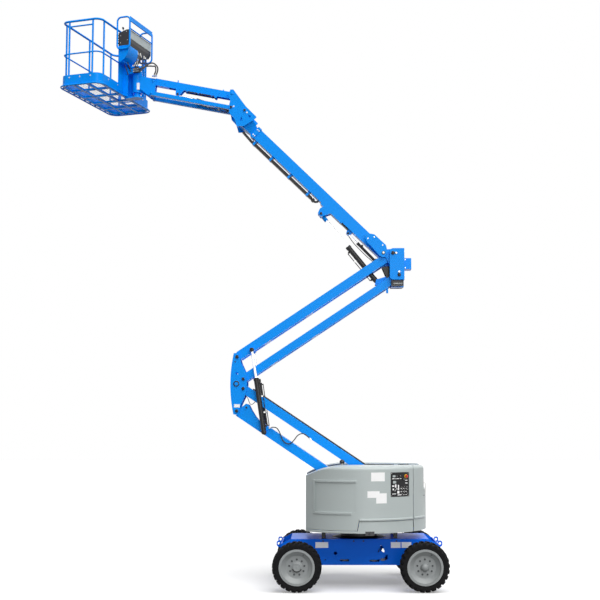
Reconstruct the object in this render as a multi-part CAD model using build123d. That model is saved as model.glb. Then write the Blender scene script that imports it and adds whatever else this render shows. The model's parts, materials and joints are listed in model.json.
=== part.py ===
from build123d import *
from math import atan2, cos, radians, sin, sqrt
import os

# Articulating boom lift, in millimetres. The origin is on the ground under the slew axis.
# +X points to the steering end, the booms lean towards -X, +Z is up.
# The machine stands with its riser and primary boom raised and the telescope closed.

# ---------------------------------------------------------------- running gear sizes
WHEELBASE = 2030
OVERALL_WIDTH = 2290
TYRE_RADIUS = 395
TYRE_WIDTH = 300
RIM_RADIUS = 285            # outer flange of the rim
RIM_DISC_RADIUS = 178       # flat disc inside the dish
RIM_DISH_DEPTH = 95         # outer flange to disc
RIM_SHEET = 12
BEAD_RADIUS = 262
DRIVE_CAP_RADIUS = 90
STEER_CAP_RADIUS = 68
AXLE_BOX = 130              # side of the square axle beams
KINGPIN_OFFSET = 265        # kingpin inboard of the tyre's middle
KINGPIN_RADIUS = 24
KNUCKLE_HEIGHT = 150
STEER_ARM = 150             # kingpin to tie rod, measured along X
TIE_ROD_RADIUS = 16

# ---------------------------------------------------------------- chassis sizes
FRAME_BOTTOM = 358
FRAME_TOP = 777
FRAME_HALF_WIDTH = 500
FRAME_HALF_LENGTH = 1290
FRAME_PLATE = 16
TIE_DOWN_Y = 330
TIE_DOWN_Z = 690            # above the tyres, so that a pin can be put through
TIE_DOWN_RADIUS = 22
CORNER_POSTS = (590, 380)   # where the four posts stand on the frame
CORNER_POST_TOP = 905
CORNER_POST_SIDE = 60
SLEW_RADIUS = 300
SLEW_BORE = 215
SLEW_SPLIT = 822            # height where the fixed ring meets the turning one
SLEW_GAP = 0.3

# ---------------------------------------------------------------- turntable sizes
DECK_BOTTOM = 930
DECK_PLATE = 20
SKIRT_BOTTOM = 925          # lower edge of the skirt, clear of the frame's corner posts
BODY_RADIUS = 1125          # plan radius of the covers, inside the track of the wheels
BODY_FRONT = 880            # flat end of the covers, on the boom side
BODY_TOP = 1980
BODY_SHOULDER = 1815        # height of the covers at their flat end
BODY_SHOULDER_RUN = 650     # length over which the top rises to its full height
BODY_EDGE_ROUND = 60
COVER_WALL = 14
COVER_GAP = 6
SLOT_HALF_WIDTH = 360       # open lane for the booms
TAIL_SEAM = 862             # seam between the hinged covers and the tail cover
COVER_LOW = 968             # lower edge of the covers on the boom side
COVER_STEP = 1120           # lower edge of the covers on the tail side
COVER_STEP_AT = -30
RECESS = (-734, -89, 1251, 1734)   # blank field of the control-side cover: X and Z limits
RECESS_DEPTH = 5
PANEL = (480, 790, 1491, 1882)     # opening for the ground controls: X and Z limits
STOP_BUTTON = (738, 1815)          # emergency stop on the ground controls, X and Z
LATCH = (70, 215, 892, 958)        # latch of the covers, X and Z limits
TOWER_INNER = 185
TOWER_PLATE = 20
BULKHEAD_INNER = 328
BULKHEAD_PLATE = 12
TAIL_LANE_TOP = 1580        # the tail is cut down to this height between the covers
HINGE_PLACES = (-200, 650)  # cover hinges along X
HINGE_HALF = 38
HINGE_PIN = 8
HINGE_Y = 350
HINGE_Z = 1940

# ---------------------------------------------------------------- riser sizes
RISER_ANGLE = 33.8
RISER_LENGTH = 3173
RISER_FOOT = (583, 1110)    # lower arm's pin on the turntable, X and Z
LINK_SHIFT = (106, 374)     # from a main pin to its link pin
MID_SPAN = 910              # between the two main pins of the middle pivot
ARM_OUTER = 170             # outer faces of the arms
ARM_INNER = 100             # inner faces of the split arms
LOWER_ARM_DEPTH = 154
LOWER_LINK_DEPTH = 144
UPPER_ARM_DEPTH = 150
UPPER_LINK_DEPTH = 134
ARM_WALL = 8
MAIN_EYE = 62
LINK_EYE = 56
PIN_RADIUS = 25
PIN_CLEARANCE = 0.3
PIVOT_PLATE_IN = 185        # inner face of the middle pivot's side plates
PIVOT_PLATE_OUT = 205
RISER_CYL_Y = 265           # the two riser cylinders stand outside the arms
RISER_CYL_FOOT = (583, -37)  # barrel pin along the lower arm from the middle pivot, and above its middle line
RISER_CYL_HEAD = (275, -46)  # rod pin along the upper arm, the same way

# ---------------------------------------------------------------- primary boom sizes
BOOM_ANGLE = 44
BOOM_PIVOT_SHIFT = (-158, 8)   # from the upper pivot's main pin to the boom's pin
BOOM_DEPTH = 190
BOOM_HALF_WIDTH = 88
BOOM_WALL = 8
BOOM_LENGTH = 3077          # pivot to the front collar
CHEEK_IN = 180              # inner cheeks of the upper pivot
CHEEK_OUT = 195
BOOT_IN = 200               # outer plates of the boom's heel
BOOT_OUT = 215
COVER_PLATE_IN = 225        # outer plates of the upper pivot
COVER_PLATE_OUT = 245
EXTENSION_STROKE = 1750
EXTENSION_DEPTH = 160
EXTENSION_HALF_WIDTH = 72
EXTENSION_WALL = 8
EXTENSION_OVERLAP = 450     # tube left inside at full stroke
WEAR_PAD_GAP = 0.5
LIFT_EYE = (1250, -234)     # lift cylinder's pin, along the boom and above its middle line
LEVEL_EYE = (683, -154)     # levelling cylinder's pin, the same way
LIFT_BASE_SHIFT = (-249, -484)   # from the upper pivot's main pin to the lift barrel's pin
LEVEL_BASE_SHIFT = (-257, -142)  # the same for the levelling barrel
HEAD_PIVOT = (3432, 128)    # jib base's shaft, along the boom and above its middle line

# ---------------------------------------------------------------- jib sizes
JIB_ANGLE = 10.5
JIB_LENGTH = 1405
JIB_PIN_SHIFT = (-215, 300)  # from the jib base's shaft to the jib's pin
JIB_LINK_SHIFT = (-17, -245)
JIB_DEPTH = 120
JIB_HALF_WIDTH = 60
JIB_WALL = 6
JIB_LINK_DEPTH = 66
JIB_LINK_IN = 127
JIB_LINK_OUT = 187
JIB_PLATE_IN = 195
JIB_PLATE_OUT = 210
JIB_CYLINDER_EYE = (950, -142)
SLAVE_ROD_EYE = (3342, -50)  # levelling rod's pin on the jib base, along the boom and above its middle line
SLAVE_ANCHOR = (2650, -5)  # levelling barrel's pin inside the extension, the same way

# ---------------------------------------------------------------- platform sizes
PLATFORM_YAW = -18
ROTATOR_REACH = 288.5       # jib's end pin to the rotator's axis
ROTATOR_RADIUS = 78
ROTATOR_DROP = 260          # ends of the rotator below and above the jib's end pin
ROTATOR_RISE = 240
PLATFORM_LENGTH = 1830
PLATFORM_WIDTH = 760
PLATFORM_NEAR = 220         # rotator axis to the platform's edge
FLOOR_DROP = 250            # jib's end pin to the underside of the floor
FLOOR_DEPTH = 50
TOE_HEIGHT = 130
MID_RAIL_RISE = 300         # jib's end pin to the middle rail
TOP_RAIL_RISE = 861
RAIL_RADIUS = 19
MID_RAIL_RADIUS = 13
POST_RADIUS = 16
PLATFORM_CORNER = 130
FLOOR_BAR = 40
GATE_WIDTH = 440
GATE_X = -600               # middle of the gate, measured from the rotator
POST_LINE = 22.3            # middle of the posts, in from the platform's edge
POST_INSET = 135            # posts stand this far from the corners
CONSOLE_NEAR = -355         # ends of the console along the platform
CONSOLE_FAR = 435
CONSOLE_BOTTOM_RISE = 555
CONSOLE_TOP_RISE = 830
GUARD_RADIUS = 15           # tube of the hoops round the console
GUARD_REACH = 255
GUARD_BOTTOM_RISE = 490
GUARD_TOP_RISE = 1050


# ---------------------------------------------------------------- drawing helpers
def side_frame(origin, angle, leftward=False):
    """Map (distance along, height above) of a leaning member to X and Z."""
    c = cos(radians(angle))
    s = sin(radians(angle))
    flip = -1 if leftward else 1

    def place(along, above):
        return (origin[0] + flip * (along * c - above * s), origin[1] + along * s + above * c)

    return place


def shifted(point, shift):
    return (point[0] + shift[0], point[1] + shift[1])


def prism(sketch, y_low, y_high):
    """Extrude a sketch drawn in X and Z between two Y values."""
    plane = Plane(origin=(0, y_high, 0), x_dir=(1, 0, 0), z_dir=(0, -1, 0))
    return extrude(plane * sketch, amount=y_high - y_low, dir=(0, -1, 0))


def plate(points, y_low, y_high, corner=0):
    outline = Polygon(*points, align=None)
    if corner:
        outline = fillet(outline.vertices(), corner)
    return prism(outline, y_low, y_high)


def disc(centre, radius, y_low, y_high):
    return prism(Pos(centre[0], centre[1]) * Circle(radius), y_low, y_high)


def both_sides(solid):
    return solid + mirror(solid, about=Plane.XZ)


def both_sides_x(solid):
    return solid + mirror(solid, about=Plane.YZ)


def rod(start, end, radius):
    """A round bar between two points in space."""
    a = Vector(*start)
    b = Vector(*end)
    return extrude(Plane(origin=a, z_dir=b - a) * Circle(radius), amount=(b - a).length)


def block(x_low, x_high, y_low, y_high, z_low, z_high):
    centre = ((x_low + x_high) / 2, (y_low + y_high) / 2, (z_low + z_high) / 2)
    return Pos(*centre) * Box(x_high - x_low, y_high - y_low, z_high - z_low)


def bar(start, end, depth, eye, y_low, y_high, wall=0):
    """A straight member between two pins, with a round eye at each; open tube where wall is given."""
    a = Vector(*start)
    b = Vector(*end)
    along = (b - a).normalized()
    square = Vector(-along.Y, along.X) * depth / 2
    inset = along * eye / 2
    corners = [a + inset + square, b - inset + square, b - inset - square, a + inset - square]
    outline = Polygon(*[(p.X, p.Y) for p in corners], align=None)
    outline += Pos(a.X, a.Y) * Circle(eye) + Pos(b.X, b.Y) * Circle(eye)
    solid = prism(outline, y_low, y_high)
    if wall:
        reach = along * (eye + 1)
        inner = Vector(-along.Y, along.X) * (depth / 2 - wall)
        hollow = [a - reach + inner, b + reach + inner, b + reach - inner, a - reach - inner]
        solid -= plate([(p.X, p.Y) for p in hollow], y_low + wall, y_high - wall)
        for end in (a, b):
            solid += disc((end.X, end.Y), PIN_RADIUS + 14, y_low, y_high)
    return solid


def bored(solid, *centres, radius=PIN_RADIUS, reach=400):
    """Cut running holes for pins through a solid."""
    for centre in centres:
        solid -= disc(centre, radius + PIN_CLEARANCE, -reach, reach)
    return solid


def cylinder_barrel(base, target, length, radius, bore, y, eye):
    """A hydraulic barrel from its base eye towards a target point, open for its rod."""
    a = Vector(base[0], y, base[1])
    b = Vector(target[0], y, target[1])
    along = (b - a).normalized()
    foot = a + along * eye * 0.8
    top = a + along * length
    solid = rod(foot, top, radius)
    solid += rod(top - along * radius * 0.8, top, radius * 1.12)
    solid -= rod(foot + along * radius, top + along, bore)
    return solid + disc(base, eye, y - radius * 0.6, y + radius * 0.6)


def cylinder_rod(target, base, length, radius, bore, y, eye, eye_half):
    """A piston rod from its eye back into the barrel, with its piston; the eye lies free between its lugs."""
    a = Vector(target[0], y, target[1])
    b = Vector(base[0], y, base[1])
    along = (b - a).normalized()
    end = a + along * length
    solid = rod(a + along * eye * 0.8, end, radius)
    solid += rod(end - along * 40, end, bore - PIN_CLEARANCE)
    return solid + disc(target, eye, y - radius * 0.8, y + radius * 0.8) + disc(target, eye * 0.6, y
                                                                                - eye_half, y + eye_half)


# ---------------------------------------------------------------- shared points
riser_up = side_frame(RISER_FOOT, RISER_ANGLE, leftward=True)
MAIN_LOW = riser_up(RISER_LENGTH, 0)
MAIN_HIGH = shifted(MAIN_LOW, (0, MID_SPAN))
FOOT_LINK = shifted(RISER_FOOT, LINK_SHIFT)
LINK_LOW = shifted(MAIN_LOW, LINK_SHIFT)
LINK_HIGH = shifted(MAIN_HIGH, (LINK_SHIFT[0], -LINK_SHIFT[1]))
riser_down = side_frame(MAIN_LOW, -RISER_ANGLE)
upper_riser = side_frame(MAIN_HIGH, RISER_ANGLE)
TOP_MAIN = upper_riser(RISER_LENGTH, 0)
RISER_CYL_LOW = riser_down(*RISER_CYL_FOOT)
RISER_CYL_HIGH = upper_riser(*RISER_CYL_HEAD)
TOP_LINK = shifted(TOP_MAIN, (LINK_SHIFT[0], -LINK_SHIFT[1]))
BOOM_PIVOT = shifted(TOP_MAIN, BOOM_PIVOT_SHIFT)
LIFT_BASE = shifted(TOP_MAIN, LIFT_BASE_SHIFT)
LEVEL_BASE = shifted(TOP_MAIN, LEVEL_BASE_SHIFT)
boom = side_frame(BOOM_PIVOT, BOOM_ANGLE, leftward=True)
HEAD = boom(*HEAD_PIVOT)
SLAVE_EYE = boom(*SLAVE_ROD_EYE)
JIB_PIN = shifted(HEAD, JIB_PIN_SHIFT)
jib = side_frame(JIB_PIN, JIB_ANGLE, leftward=True)
JIB_LINK_PIN = shifted(JIB_PIN, JIB_LINK_SHIFT)
JIB_END = jib(JIB_LENGTH, 0)
JIB_LINK_END = shifted(JIB_END, JIB_LINK_SHIFT)
ROTATOR_X = JIB_END[0] - ROTATOR_REACH
ROTATOR_LOW = JIB_END[1] - ROTATOR_DROP
ROTATOR_HIGH = JIB_END[1] + ROTATOR_RISE
FLOOR_BOTTOM = JIB_END[1] - FLOOR_DROP
TOE_TOP = FLOOR_BOTTOM + FLOOR_DEPTH + TOE_HEIGHT
MID_RAIL = JIB_END[1] + MID_RAIL_RISE
TOP_RAIL = JIB_END[1] + TOP_RAIL_RISE
WHEEL_Y = (OVERALL_WIDTH - TYRE_WIDTH) / 2
KINGPIN_Y = WHEEL_Y - KINGPIN_OFFSET
HALF_BASE = WHEELBASE / 2


# ---------------------------------------------------------------- wheels
def turned(points):
    """Revolve an outline given as (radius, distance inboard) about the axle."""
    return revolve(Polygon(*points, align=None), axis=Axis.Y)


def tyre():
    half = TYRE_WIDTH / 2
    side = [(BEAD_RADIUS, half - 28), (BEAD_RADIUS + 50, half - 2),
            (TYRE_RADIUS - 62, half), (TYRE_RADIUS - 30, half - 12), (TYRE_RADIUS - 8, half - 36),
            (TYRE_RADIUS, half - 60)]
    return turned([(r, -y) for r, y in side] + [(r, y) for r, y in reversed(side)])


def rim(cap_radius, cap_height):
    """Wheel rim with its dished face towards -Y and the hub's cap in the middle."""
    half = TYRE_WIDTH / 2
    face = -half + RIM_DISH_DEPTH
    inner = BEAD_RADIUS - RIM_SHEET
    return turned([(RIM_RADIUS, -half + 4), (RIM_RADIUS, -half + 14), (BEAD_RADIUS - 0.3, -half + 27.5),
                   (BEAD_RADIUS - 0.3, half - 27.5), (RIM_RADIUS, half - 14), (RIM_RADIUS, half - 4),
                   (inner, half - 4), (inner, face + 60), (RIM_DISC_RADIUS + 14, face + RIM_SHEET),
                   (0, face + RIM_SHEET), (0, face - cap_height), (cap_radius * 0.7, face - cap_height),
                   (cap_radius, face - cap_height * 0.5), (cap_radius, face), (RIM_DISC_RADIUS, face),
                   (inner, -half + 45), (inner, -half + 4)])


# ---------------------------------------------------------------- axles and steering
def drive_axle():
    half = AXLE_BOX / 2
    beam = block(-HALF_BASE - half, -HALF_BASE + half, -720, 720, TYRE_RADIUS - half, TYRE_RADIUS + half)
    hub_end = WHEEL_Y - TYRE_WIDTH / 2 + RIM_DISH_DEPTH
    face = WHEEL_Y + TYRE_WIDTH / 2 - RIM_DISH_DEPTH - RIM_SHEET
    motor = disc((-HALF_BASE, TYRE_RADIUS), 130, 690, hub_end)
    motor += disc((-HALF_BASE, TYRE_RADIUS), 95, hub_end - 1, face - 0.3)
    return beam + both_sides(motor)


def steer_axle():
    half = AXLE_BOX / 2
    yoke_in = KINGPIN_Y - 95
    beam = block(HALF_BASE - half, HALF_BASE + half, -yoke_in, yoke_in, TYRE_RADIUS - half,
                 TYRE_RADIUS + half)
    jaw = KNUCKLE_HEIGHT / 2
    for low, high in ((TYRE_RADIUS + jaw + 1, TYRE_RADIUS + jaw + 25),
                      (TYRE_RADIUS - jaw - 25, TYRE_RADIUS - jaw - 1)):
        ear = block(HALF_BASE - 50, HALF_BASE + 50, yoke_in - 40, KINGPIN_Y, low, high)
        ear += Pos(HALF_BASE, KINGPIN_Y, (low + high) / 2) * Cylinder(50, high - low)
        beam += both_sides(ear)
    web = block(HALF_BASE - 50, HALF_BASE + 50, yoke_in - 40, yoke_in - 10,
                TYRE_RADIUS - jaw - 25, TYRE_RADIUS + jaw + 25)
    beam += both_sides(web)
    barrel = rod((HALF_BASE - STEER_ARM, -230, TYRE_RADIUS), (HALF_BASE - STEER_ARM, 230, TYRE_RADIUS), 42)
    barrel += block(HALF_BASE - STEER_ARM, HALF_BASE - half, -110, 110, TYRE_RADIUS - 30, TYRE_RADIUS + 30)
    barrel -= rod((HALF_BASE - STEER_ARM, -240, TYRE_RADIUS), (HALF_BASE - STEER_ARM, 240, TYRE_RADIUS),
                  TIE_ROD_RADIUS + PIN_CLEARANCE)
    beam += barrel
    pins = Pos(HALF_BASE, KINGPIN_Y, TYRE_RADIUS) * Cylinder(KINGPIN_RADIUS, KNUCKLE_HEIGHT + 52)
    return beam + both_sides(pins)


def knuckle():
    """Left-hand (-Y) knuckle, with its spindle and its steering arm."""
    middle = Pos(HALF_BASE, -KINGPIN_Y, TYRE_RADIUS)
    solid = middle * Cylinder(46, KNUCKLE_HEIGHT)
    face = WHEEL_Y + TYRE_WIDTH / 2 - RIM_DISH_DEPTH - RIM_SHEET
    solid += disc((HALF_BASE, TYRE_RADIUS), 60, -KINGPIN_Y - 110, -KINGPIN_Y - 20)
    solid += disc((HALF_BASE, TYRE_RADIUS), 110, -face + 0.3, -KINGPIN_Y - 100)
    arm_top = TYRE_RADIUS + 48
    solid += block(HALF_BASE - STEER_ARM, HALF_BASE, -KINGPIN_Y - 25, -KINGPIN_Y + 25, arm_top - 20, arm_top)
    solid += Pos(HALF_BASE - STEER_ARM, -KINGPIN_Y, arm_top - 10) * Cylinder(25, 20)
    return solid - middle * Cylinder(KINGPIN_RADIUS + PIN_CLEARANCE, KNUCKLE_HEIGHT + 2)


def steering_rod():
    x = HALF_BASE - STEER_ARM
    solid = rod((x, -KINGPIN_Y, TYRE_RADIUS), (x, KINGPIN_Y, TYRE_RADIUS), TIE_ROD_RADIUS)
    for side in (-1, 1):
        solid += Pos(x, side * KINGPIN_Y, TYRE_RADIUS) * Cylinder(24, 36)
    return solid


# ---------------------------------------------------------------- chassis
def chassis_frame():
    ends = FRAME_HALF_LENGTH
    sill = TYRE_RADIUS + AXLE_BOX / 2
    outline = [(-ends, 540), (-ends + 60, sill), (-740, sill), (-650, FRAME_BOTTOM), (650, FRAME_BOTTOM),
               (740, sill), (ends - 60, sill), (ends, 540), (ends, 700), (ends - 160, FRAME_TOP),
               (-ends + 160, FRAME_TOP), (-ends, 700)]
    inner = FRAME_HALF_WIDTH - FRAME_PLATE
    side = plate(outline, -FRAME_HALF_WIDTH, -inner)
    # cut-outs of the side plates: outline points in X and Z
    side -= disc((-398, 548), 28, -600, -400) + disc((-564, 443), 10, -600, -400)
    side -= plate([(-342, 418), (-342, 451), (-175, 451), (-175, 418)], -600, -400)
    side -= plate([(159, 411), (159, 441), (297, 441), (319, 466), (399, 466), (424, 518), (457, 518),
                   (457, 452), (405, 427), (332, 427), (307, 411)], -600, -400)
    side -= disc((350, 650), 26, -600, -400)
    side -= plate([(330, 655), (370, 655), (405, 580), (395, 560), (350, 590), (305, 560),
                   (295, 580)], -600, -400)
    frame = both_sides(side)
    frame += block(-ends + 160, ends - 160, -inner, inner, FRAME_TOP - FRAME_PLATE, FRAME_TOP)
    frame += block(-650, 650, -inner, inner, FRAME_BOTTOM, FRAME_BOTTOM + FRAME_PLATE)
    frame += both_sides_x(block(740, ends - 60, -inner, inner, sill, sill + FRAME_PLATE))
    for x in (-820, 820):
        frame += block(x - 8, x + 8, -inner, inner, sill, FRAME_TOP - FRAME_PLATE)
    for x in (-330, 330):
        frame += block(x - 8, x + 8, -inner, inner, FRAME_BOTTOM + FRAME_PLATE, FRAME_TOP - FRAME_PLATE)
    frame += both_sides_x(block(ends - FRAME_PLATE, ends, -inner, inner, 540, 700))
    lug = plate([(ends - 1, 620), (ends + 60, 640), (ends + 78, 665), (ends + 78, 715), (ends + 60, 735),
                 (ends + 16, 735), (ends - 1, 699)], TIE_DOWN_Y - 10, TIE_DOWN_Y + 10)
    lug -= disc((ends + 38, TIE_DOWN_Z), TIE_DOWN_RADIUS, TIE_DOWN_Y - 20, TIE_DOWN_Y + 20)
    frame += both_sides_x(both_sides(lug))
    rise = CORNER_POST_TOP - FRAME_TOP
    post = Pos(*CORNER_POSTS, FRAME_TOP + rise / 2) * Box(CORNER_POST_SIDE, CORNER_POST_SIDE, rise)
    frame += both_sides_x(both_sides(post))
    bore = Pos(0, 0, FRAME_TOP) * Cylinder(SLEW_BORE - 30, 200)
    return frame - bore


def slew_ring():
    """Fixed ring of the slew bearing on its tapered seat."""
    low = FRAME_TOP + 24
    ring = Pos(0, 0, (low + SLEW_SPLIT) / 2) * Cylinder(SLEW_RADIUS, SLEW_SPLIT - low)
    seat = loft([Pos(0, 0, FRAME_TOP) * Circle(SLEW_RADIUS + 150), Pos(0, 0, low) * Circle(SLEW_RADIUS + 40)])
    return ring + seat - Pos(0, 0, low) * Cylinder(SLEW_BORE, 200)


def slew_collar():
    low = SLEW_SPLIT + SLEW_GAP
    high = DECK_BOTTOM
    ring = Pos(0, 0, (low + high) / 2) * Cylinder(SLEW_RADIUS + 25, high - low)
    return ring - Pos(0, 0, low) * Cylinder(SLEW_BORE, 200)


# ---------------------------------------------------------------- turntable
def body_plan(inset, front):
    """Plan of the turntable: a circle cut flat on the boom side."""
    plan = Circle(BODY_RADIUS - inset)
    plan &= Pos((BODY_RADIUS - front) / 2 + 1, 0) * Rectangle(BODY_RADIUS + front + 2, 3 * BODY_RADIUS)
    return plan


def body_form(inset, low):
    """The covers' outer form, or one set in from it, from a given height to the top."""
    top = BODY_TOP - inset
    front = BODY_FRONT - inset
    drop = BODY_TOP - BODY_SHOULDER
    sweep_radius = (BODY_SHOULDER_RUN ** 2 + drop ** 2) / (2 * drop)
    crest = BODY_SHOULDER_RUN - front
    end = -front - 50
    end_z = top - sweep_radius + sqrt(sweep_radius ** 2 - (crest - end) ** 2)
    form = extrude(Pos(0, 0, low) * body_plan(inset, front), amount=top - low)
    rim_edges = form.edges().group_by(Axis.Z)[-1]
    soften = fillet if inset < COVER_WALL else chamfer
    form = soften(rim_edges, BODY_EDGE_ROUND - inset)
    side = make_face(Polyline((end, end_z), (end, low - 50), (BODY_RADIUS + 50, low - 50),
                              (BODY_RADIUS + 50, top + 1),
                              (crest, top + 1), (crest, top))
                     + TangentArc((crest, top), (end, end_z), tangent=(-1, 0)))
    return form & prism(side, -1300, 1300)


def body_slice(outer, inner, x_low, x_high, z_low, z_high, far=False):
    """Upright part of the covers' wall between two insets, on the -Y side or, with far, on the +Y side."""
    near = (300, 1300) if far else (-1300, -300)
    window = block(x_low, x_high, *near, z_low, z_high)
    wall = body_plan(outer, BODY_FRONT) - body_plan(inner, BODY_FRONT)
    return extrude(Pos(0, 0, z_low) * wall, amount=z_high - z_low) & window


def body_shell(low):
    return body_form(0, low) - body_form(COVER_WALL, low - 1)


def deck():
    top = DECK_BOTTOM + DECK_PLATE
    solid = extrude(Pos(0, 0, DECK_BOTTOM) * body_plan(40, BODY_FRONT - 40), amount=DECK_PLATE)
    solid -= Pos(0, 0, DECK_BOTTOM) * Cylinder(120, 100)
    tower = [(330, top), (860, top), (850, 1470), (770, 1560), (620, 1560), (500, 1180)]
    side = plate(tower, TOWER_INNER, TOWER_INNER + TOWER_PLATE)
    solid += both_sides(side)
    solid += block(820, 838, -TOWER_INNER, TOWER_INNER, top, 1440)
    wall = [(-760, top), (850, top), (850, 1900), (-300, 1900), (-700, 1560)]
    solid += both_sides(plate(wall, BULKHEAD_INNER, BULKHEAD_INNER + BULKHEAD_PLATE))
    for pin in (RISER_FOOT, FOOT_LINK):
        solid += disc(pin, PIN_RADIUS, -TOWER_INNER - TOWER_PLATE - 14, TOWER_INNER + TOWER_PLATE + 14)
    for x in HINGE_PLACES:
        hinge = rod((x - HINGE_HALF - 22, HINGE_Y, HINGE_Z),
                    (x + HINGE_HALF + 22, HINGE_Y, HINGE_Z), HINGE_PIN)
        for end in (x - HINGE_HALF - 22, x + HINGE_HALF + 2):
            hinge += block(end, end + 20, BULKHEAD_INNER, HINGE_Y + 10, 1860, HINGE_Z + 10)
        solid += both_sides(hinge)
    return solid


def deck_flange(x_low, x_high):
    """Narrow flange that joins a cover to the deck's edge."""
    ring = body_plan(COVER_WALL - 1, BODY_FRONT - COVER_WALL + 1) - body_plan(40, BODY_FRONT - 40)
    flange = extrude(Pos(0, 0, DECK_BOTTOM) * ring, amount=DECK_PLATE)
    return flange & block(x_low, x_high, -1300, 1300, DECK_BOTTOM - 1, DECK_BOTTOM + DECK_PLATE + 1)


def lower_skirt():
    """Fixed skirt under the hinged covers, stepped up on the tail side."""
    low = SKIRT_BOTTOM
    shell = body_shell(low)
    keep = plate([(-1000, low - 1), (TAIL_SEAM - COVER_GAP, low - 1),
                  (TAIL_SEAM - COVER_GAP, COVER_STEP - COVER_GAP),
                  (COVER_STEP_AT + 8, COVER_STEP - COVER_GAP), (COVER_STEP_AT - 22, COVER_LOW - COVER_GAP),
                  (-1000, COVER_LOW - COVER_GAP)], -1300, 1300)
    skirt = shell & keep
    return skirt + deck_flange(-1000, TAIL_SEAM - COVER_GAP)


def cover(side):
    """Hinged cover of one side; side is -1 for the control side and 1 for the engine side."""
    shell = body_shell(COVER_LOW - 20)
    keep = plate([(-1000, COVER_LOW), (COVER_STEP_AT - 30, COVER_LOW), (COVER_STEP_AT, COVER_STEP),
                  (TAIL_SEAM, COVER_STEP), (TAIL_SEAM, 2100), (-1000, 2100)],
                 SLOT_HALF_WIDTH if side > 0 else -1300, 1300 if side > 0 else -SLOT_HALF_WIDTH)
    solid = shell & keep
    if side < 0:
        solid -= body_slice(-20, RECESS_DEPTH, *RECESS)
        solid -= body_slice(-20, 60, *PANEL)
    for x in HINGE_PLACES:
        strap = block(x - HINGE_HALF, x + HINGE_HALF, HINGE_Y - 9, HINGE_Y + 50, HINGE_Z - 12, BODY_TOP
                      - COVER_WALL + 2)
        strap -= rod((x - 60, HINGE_Y, HINGE_Z), (x + 60, HINGE_Y, HINGE_Z), HINGE_PIN + PIN_CLEARANCE)
        solid += strap if side > 0 else mirror(strap, about=Plane.XZ)
    return solid


def ground_controls():
    """Black control panel, let into the control-side cover with a flange behind its wall."""
    x_low, x_high, z_low, z_high = PANEL
    solid = body_slice(4, COVER_WALL + 8, x_low + 0.3, x_high - 0.3, z_low + 0.3, z_high - 0.3)
    return solid + body_slice(COVER_WALL + 0.3, COVER_WALL + 10, x_low - 15, x_high + 15, z_low - 15,
                              z_high + 15)


def emergency_stop():
    """Mushroom button, square to the panel's curved face."""
    x, z = STOP_BUTTON
    angle = atan2(-sqrt((BODY_RADIUS - 4) ** 2 - x ** 2), x)
    across = Vector(cos(angle), sin(angle), 0)
    seat = across * (BODY_RADIUS - 3.7) + Vector(0, 0, z)
    stem = extrude(Plane(origin=seat, z_dir=across) * Circle(14), amount=14)
    return stem + extrude(Plane(origin=seat + across * 13, z_dir=across) * Circle(24), amount=14, taper=12)


def cover_latch(side):
    """Latch body on the skirt, under the lower edge of a cover."""
    return body_slice(-12, -0.3, *LATCH, far=side > 0)


def tail_cover():
    shell = body_shell(SKIRT_BOTTOM) & block(TAIL_SEAM + COVER_GAP, 1300, -1300, 1300, 0, 3000)
    lane = block(TAIL_SEAM, 1300, -SLOT_HALF_WIDTH, SLOT_HALF_WIDTH, TAIL_LANE_TOP, 3000)
    shell -= lane
    lane_floor = (body_form(1, SKIRT_BOTTOM)
                  & block(TAIL_SEAM + COVER_GAP, 1300, -SLOT_HALF_WIDTH, SLOT_HALF_WIDTH,
                                            TAIL_LANE_TOP - COVER_WALL, TAIL_LANE_TOP))
    cheeks = (body_form(1, SKIRT_BOTTOM)
              & block(TAIL_SEAM + COVER_GAP, 1300, SLOT_HALF_WIDTH, SLOT_HALF_WIDTH + COVER_WALL,
                                        TAIL_LANE_TOP - COVER_WALL, 3000))
    return shell + lane_floor + both_sides(cheeks) + deck_flange(TAIL_SEAM + COVER_GAP, 1300)


def counterweight():
    top = DECK_BOTTOM + DECK_PLATE
    form = extrude(Pos(0, 0, top) * body_plan(COVER_WALL + 12, BODY_FRONT), amount=1500 - top)
    return form & block(TAIL_SEAM + COVER_GAP + 30, 1300, -900, 900, 0, 3000)


def engine_block():
    top = DECK_BOTTOM + DECK_PLATE
    return block(-420, 240, 420, 860, top, 1560) + block(-300, 120, 500, 800, 1559, 1690)


def tanks():
    """Hydraulic tank and fuel tank, side by side under the control-side cover."""
    top = DECK_BOTTOM + DECK_PLATE
    tank = fillet(block(-620, -80, -880, -420, top, 1420).edges().filter_by(Axis.Z), 50)
    fuel = fillet(block(0, 420, -880, -420, top, 1380).edges().filter_by(Axis.Z), 50)
    return tank + fuel


# ---------------------------------------------------------------- riser
def lower_arm():
    solid = bar(RISER_FOOT, MAIN_LOW, LOWER_ARM_DEPTH, MAIN_EYE, -ARM_OUTER, ARM_OUTER, ARM_WALL)
    horn = [riser_down(a, b) for a, b in ((20, 60), (62, 190), (108, 198), (194, 149), (324, 91),
                                          (440, 70), (60, 40))]
    solid += both_sides(plate(horn, ARM_OUTER - 16, ARM_OUTER))
    pin = disc(RISER_CYL_LOW, 22, ARM_OUTER - 30, RISER_CYL_Y + 44)
    boss = disc(RISER_CYL_LOW, 40, ARM_OUTER - 8, RISER_CYL_Y - 47)
    solid += both_sides(pin + boss)
    return bored(solid, RISER_FOOT, MAIN_LOW)


def lower_link():
    solid = bar(FOOT_LINK, LINK_LOW, LOWER_LINK_DEPTH, LINK_EYE, -ARM_OUTER, ARM_OUTER, ARM_WALL)
    return bored(solid, FOOT_LINK, LINK_LOW)


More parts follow.
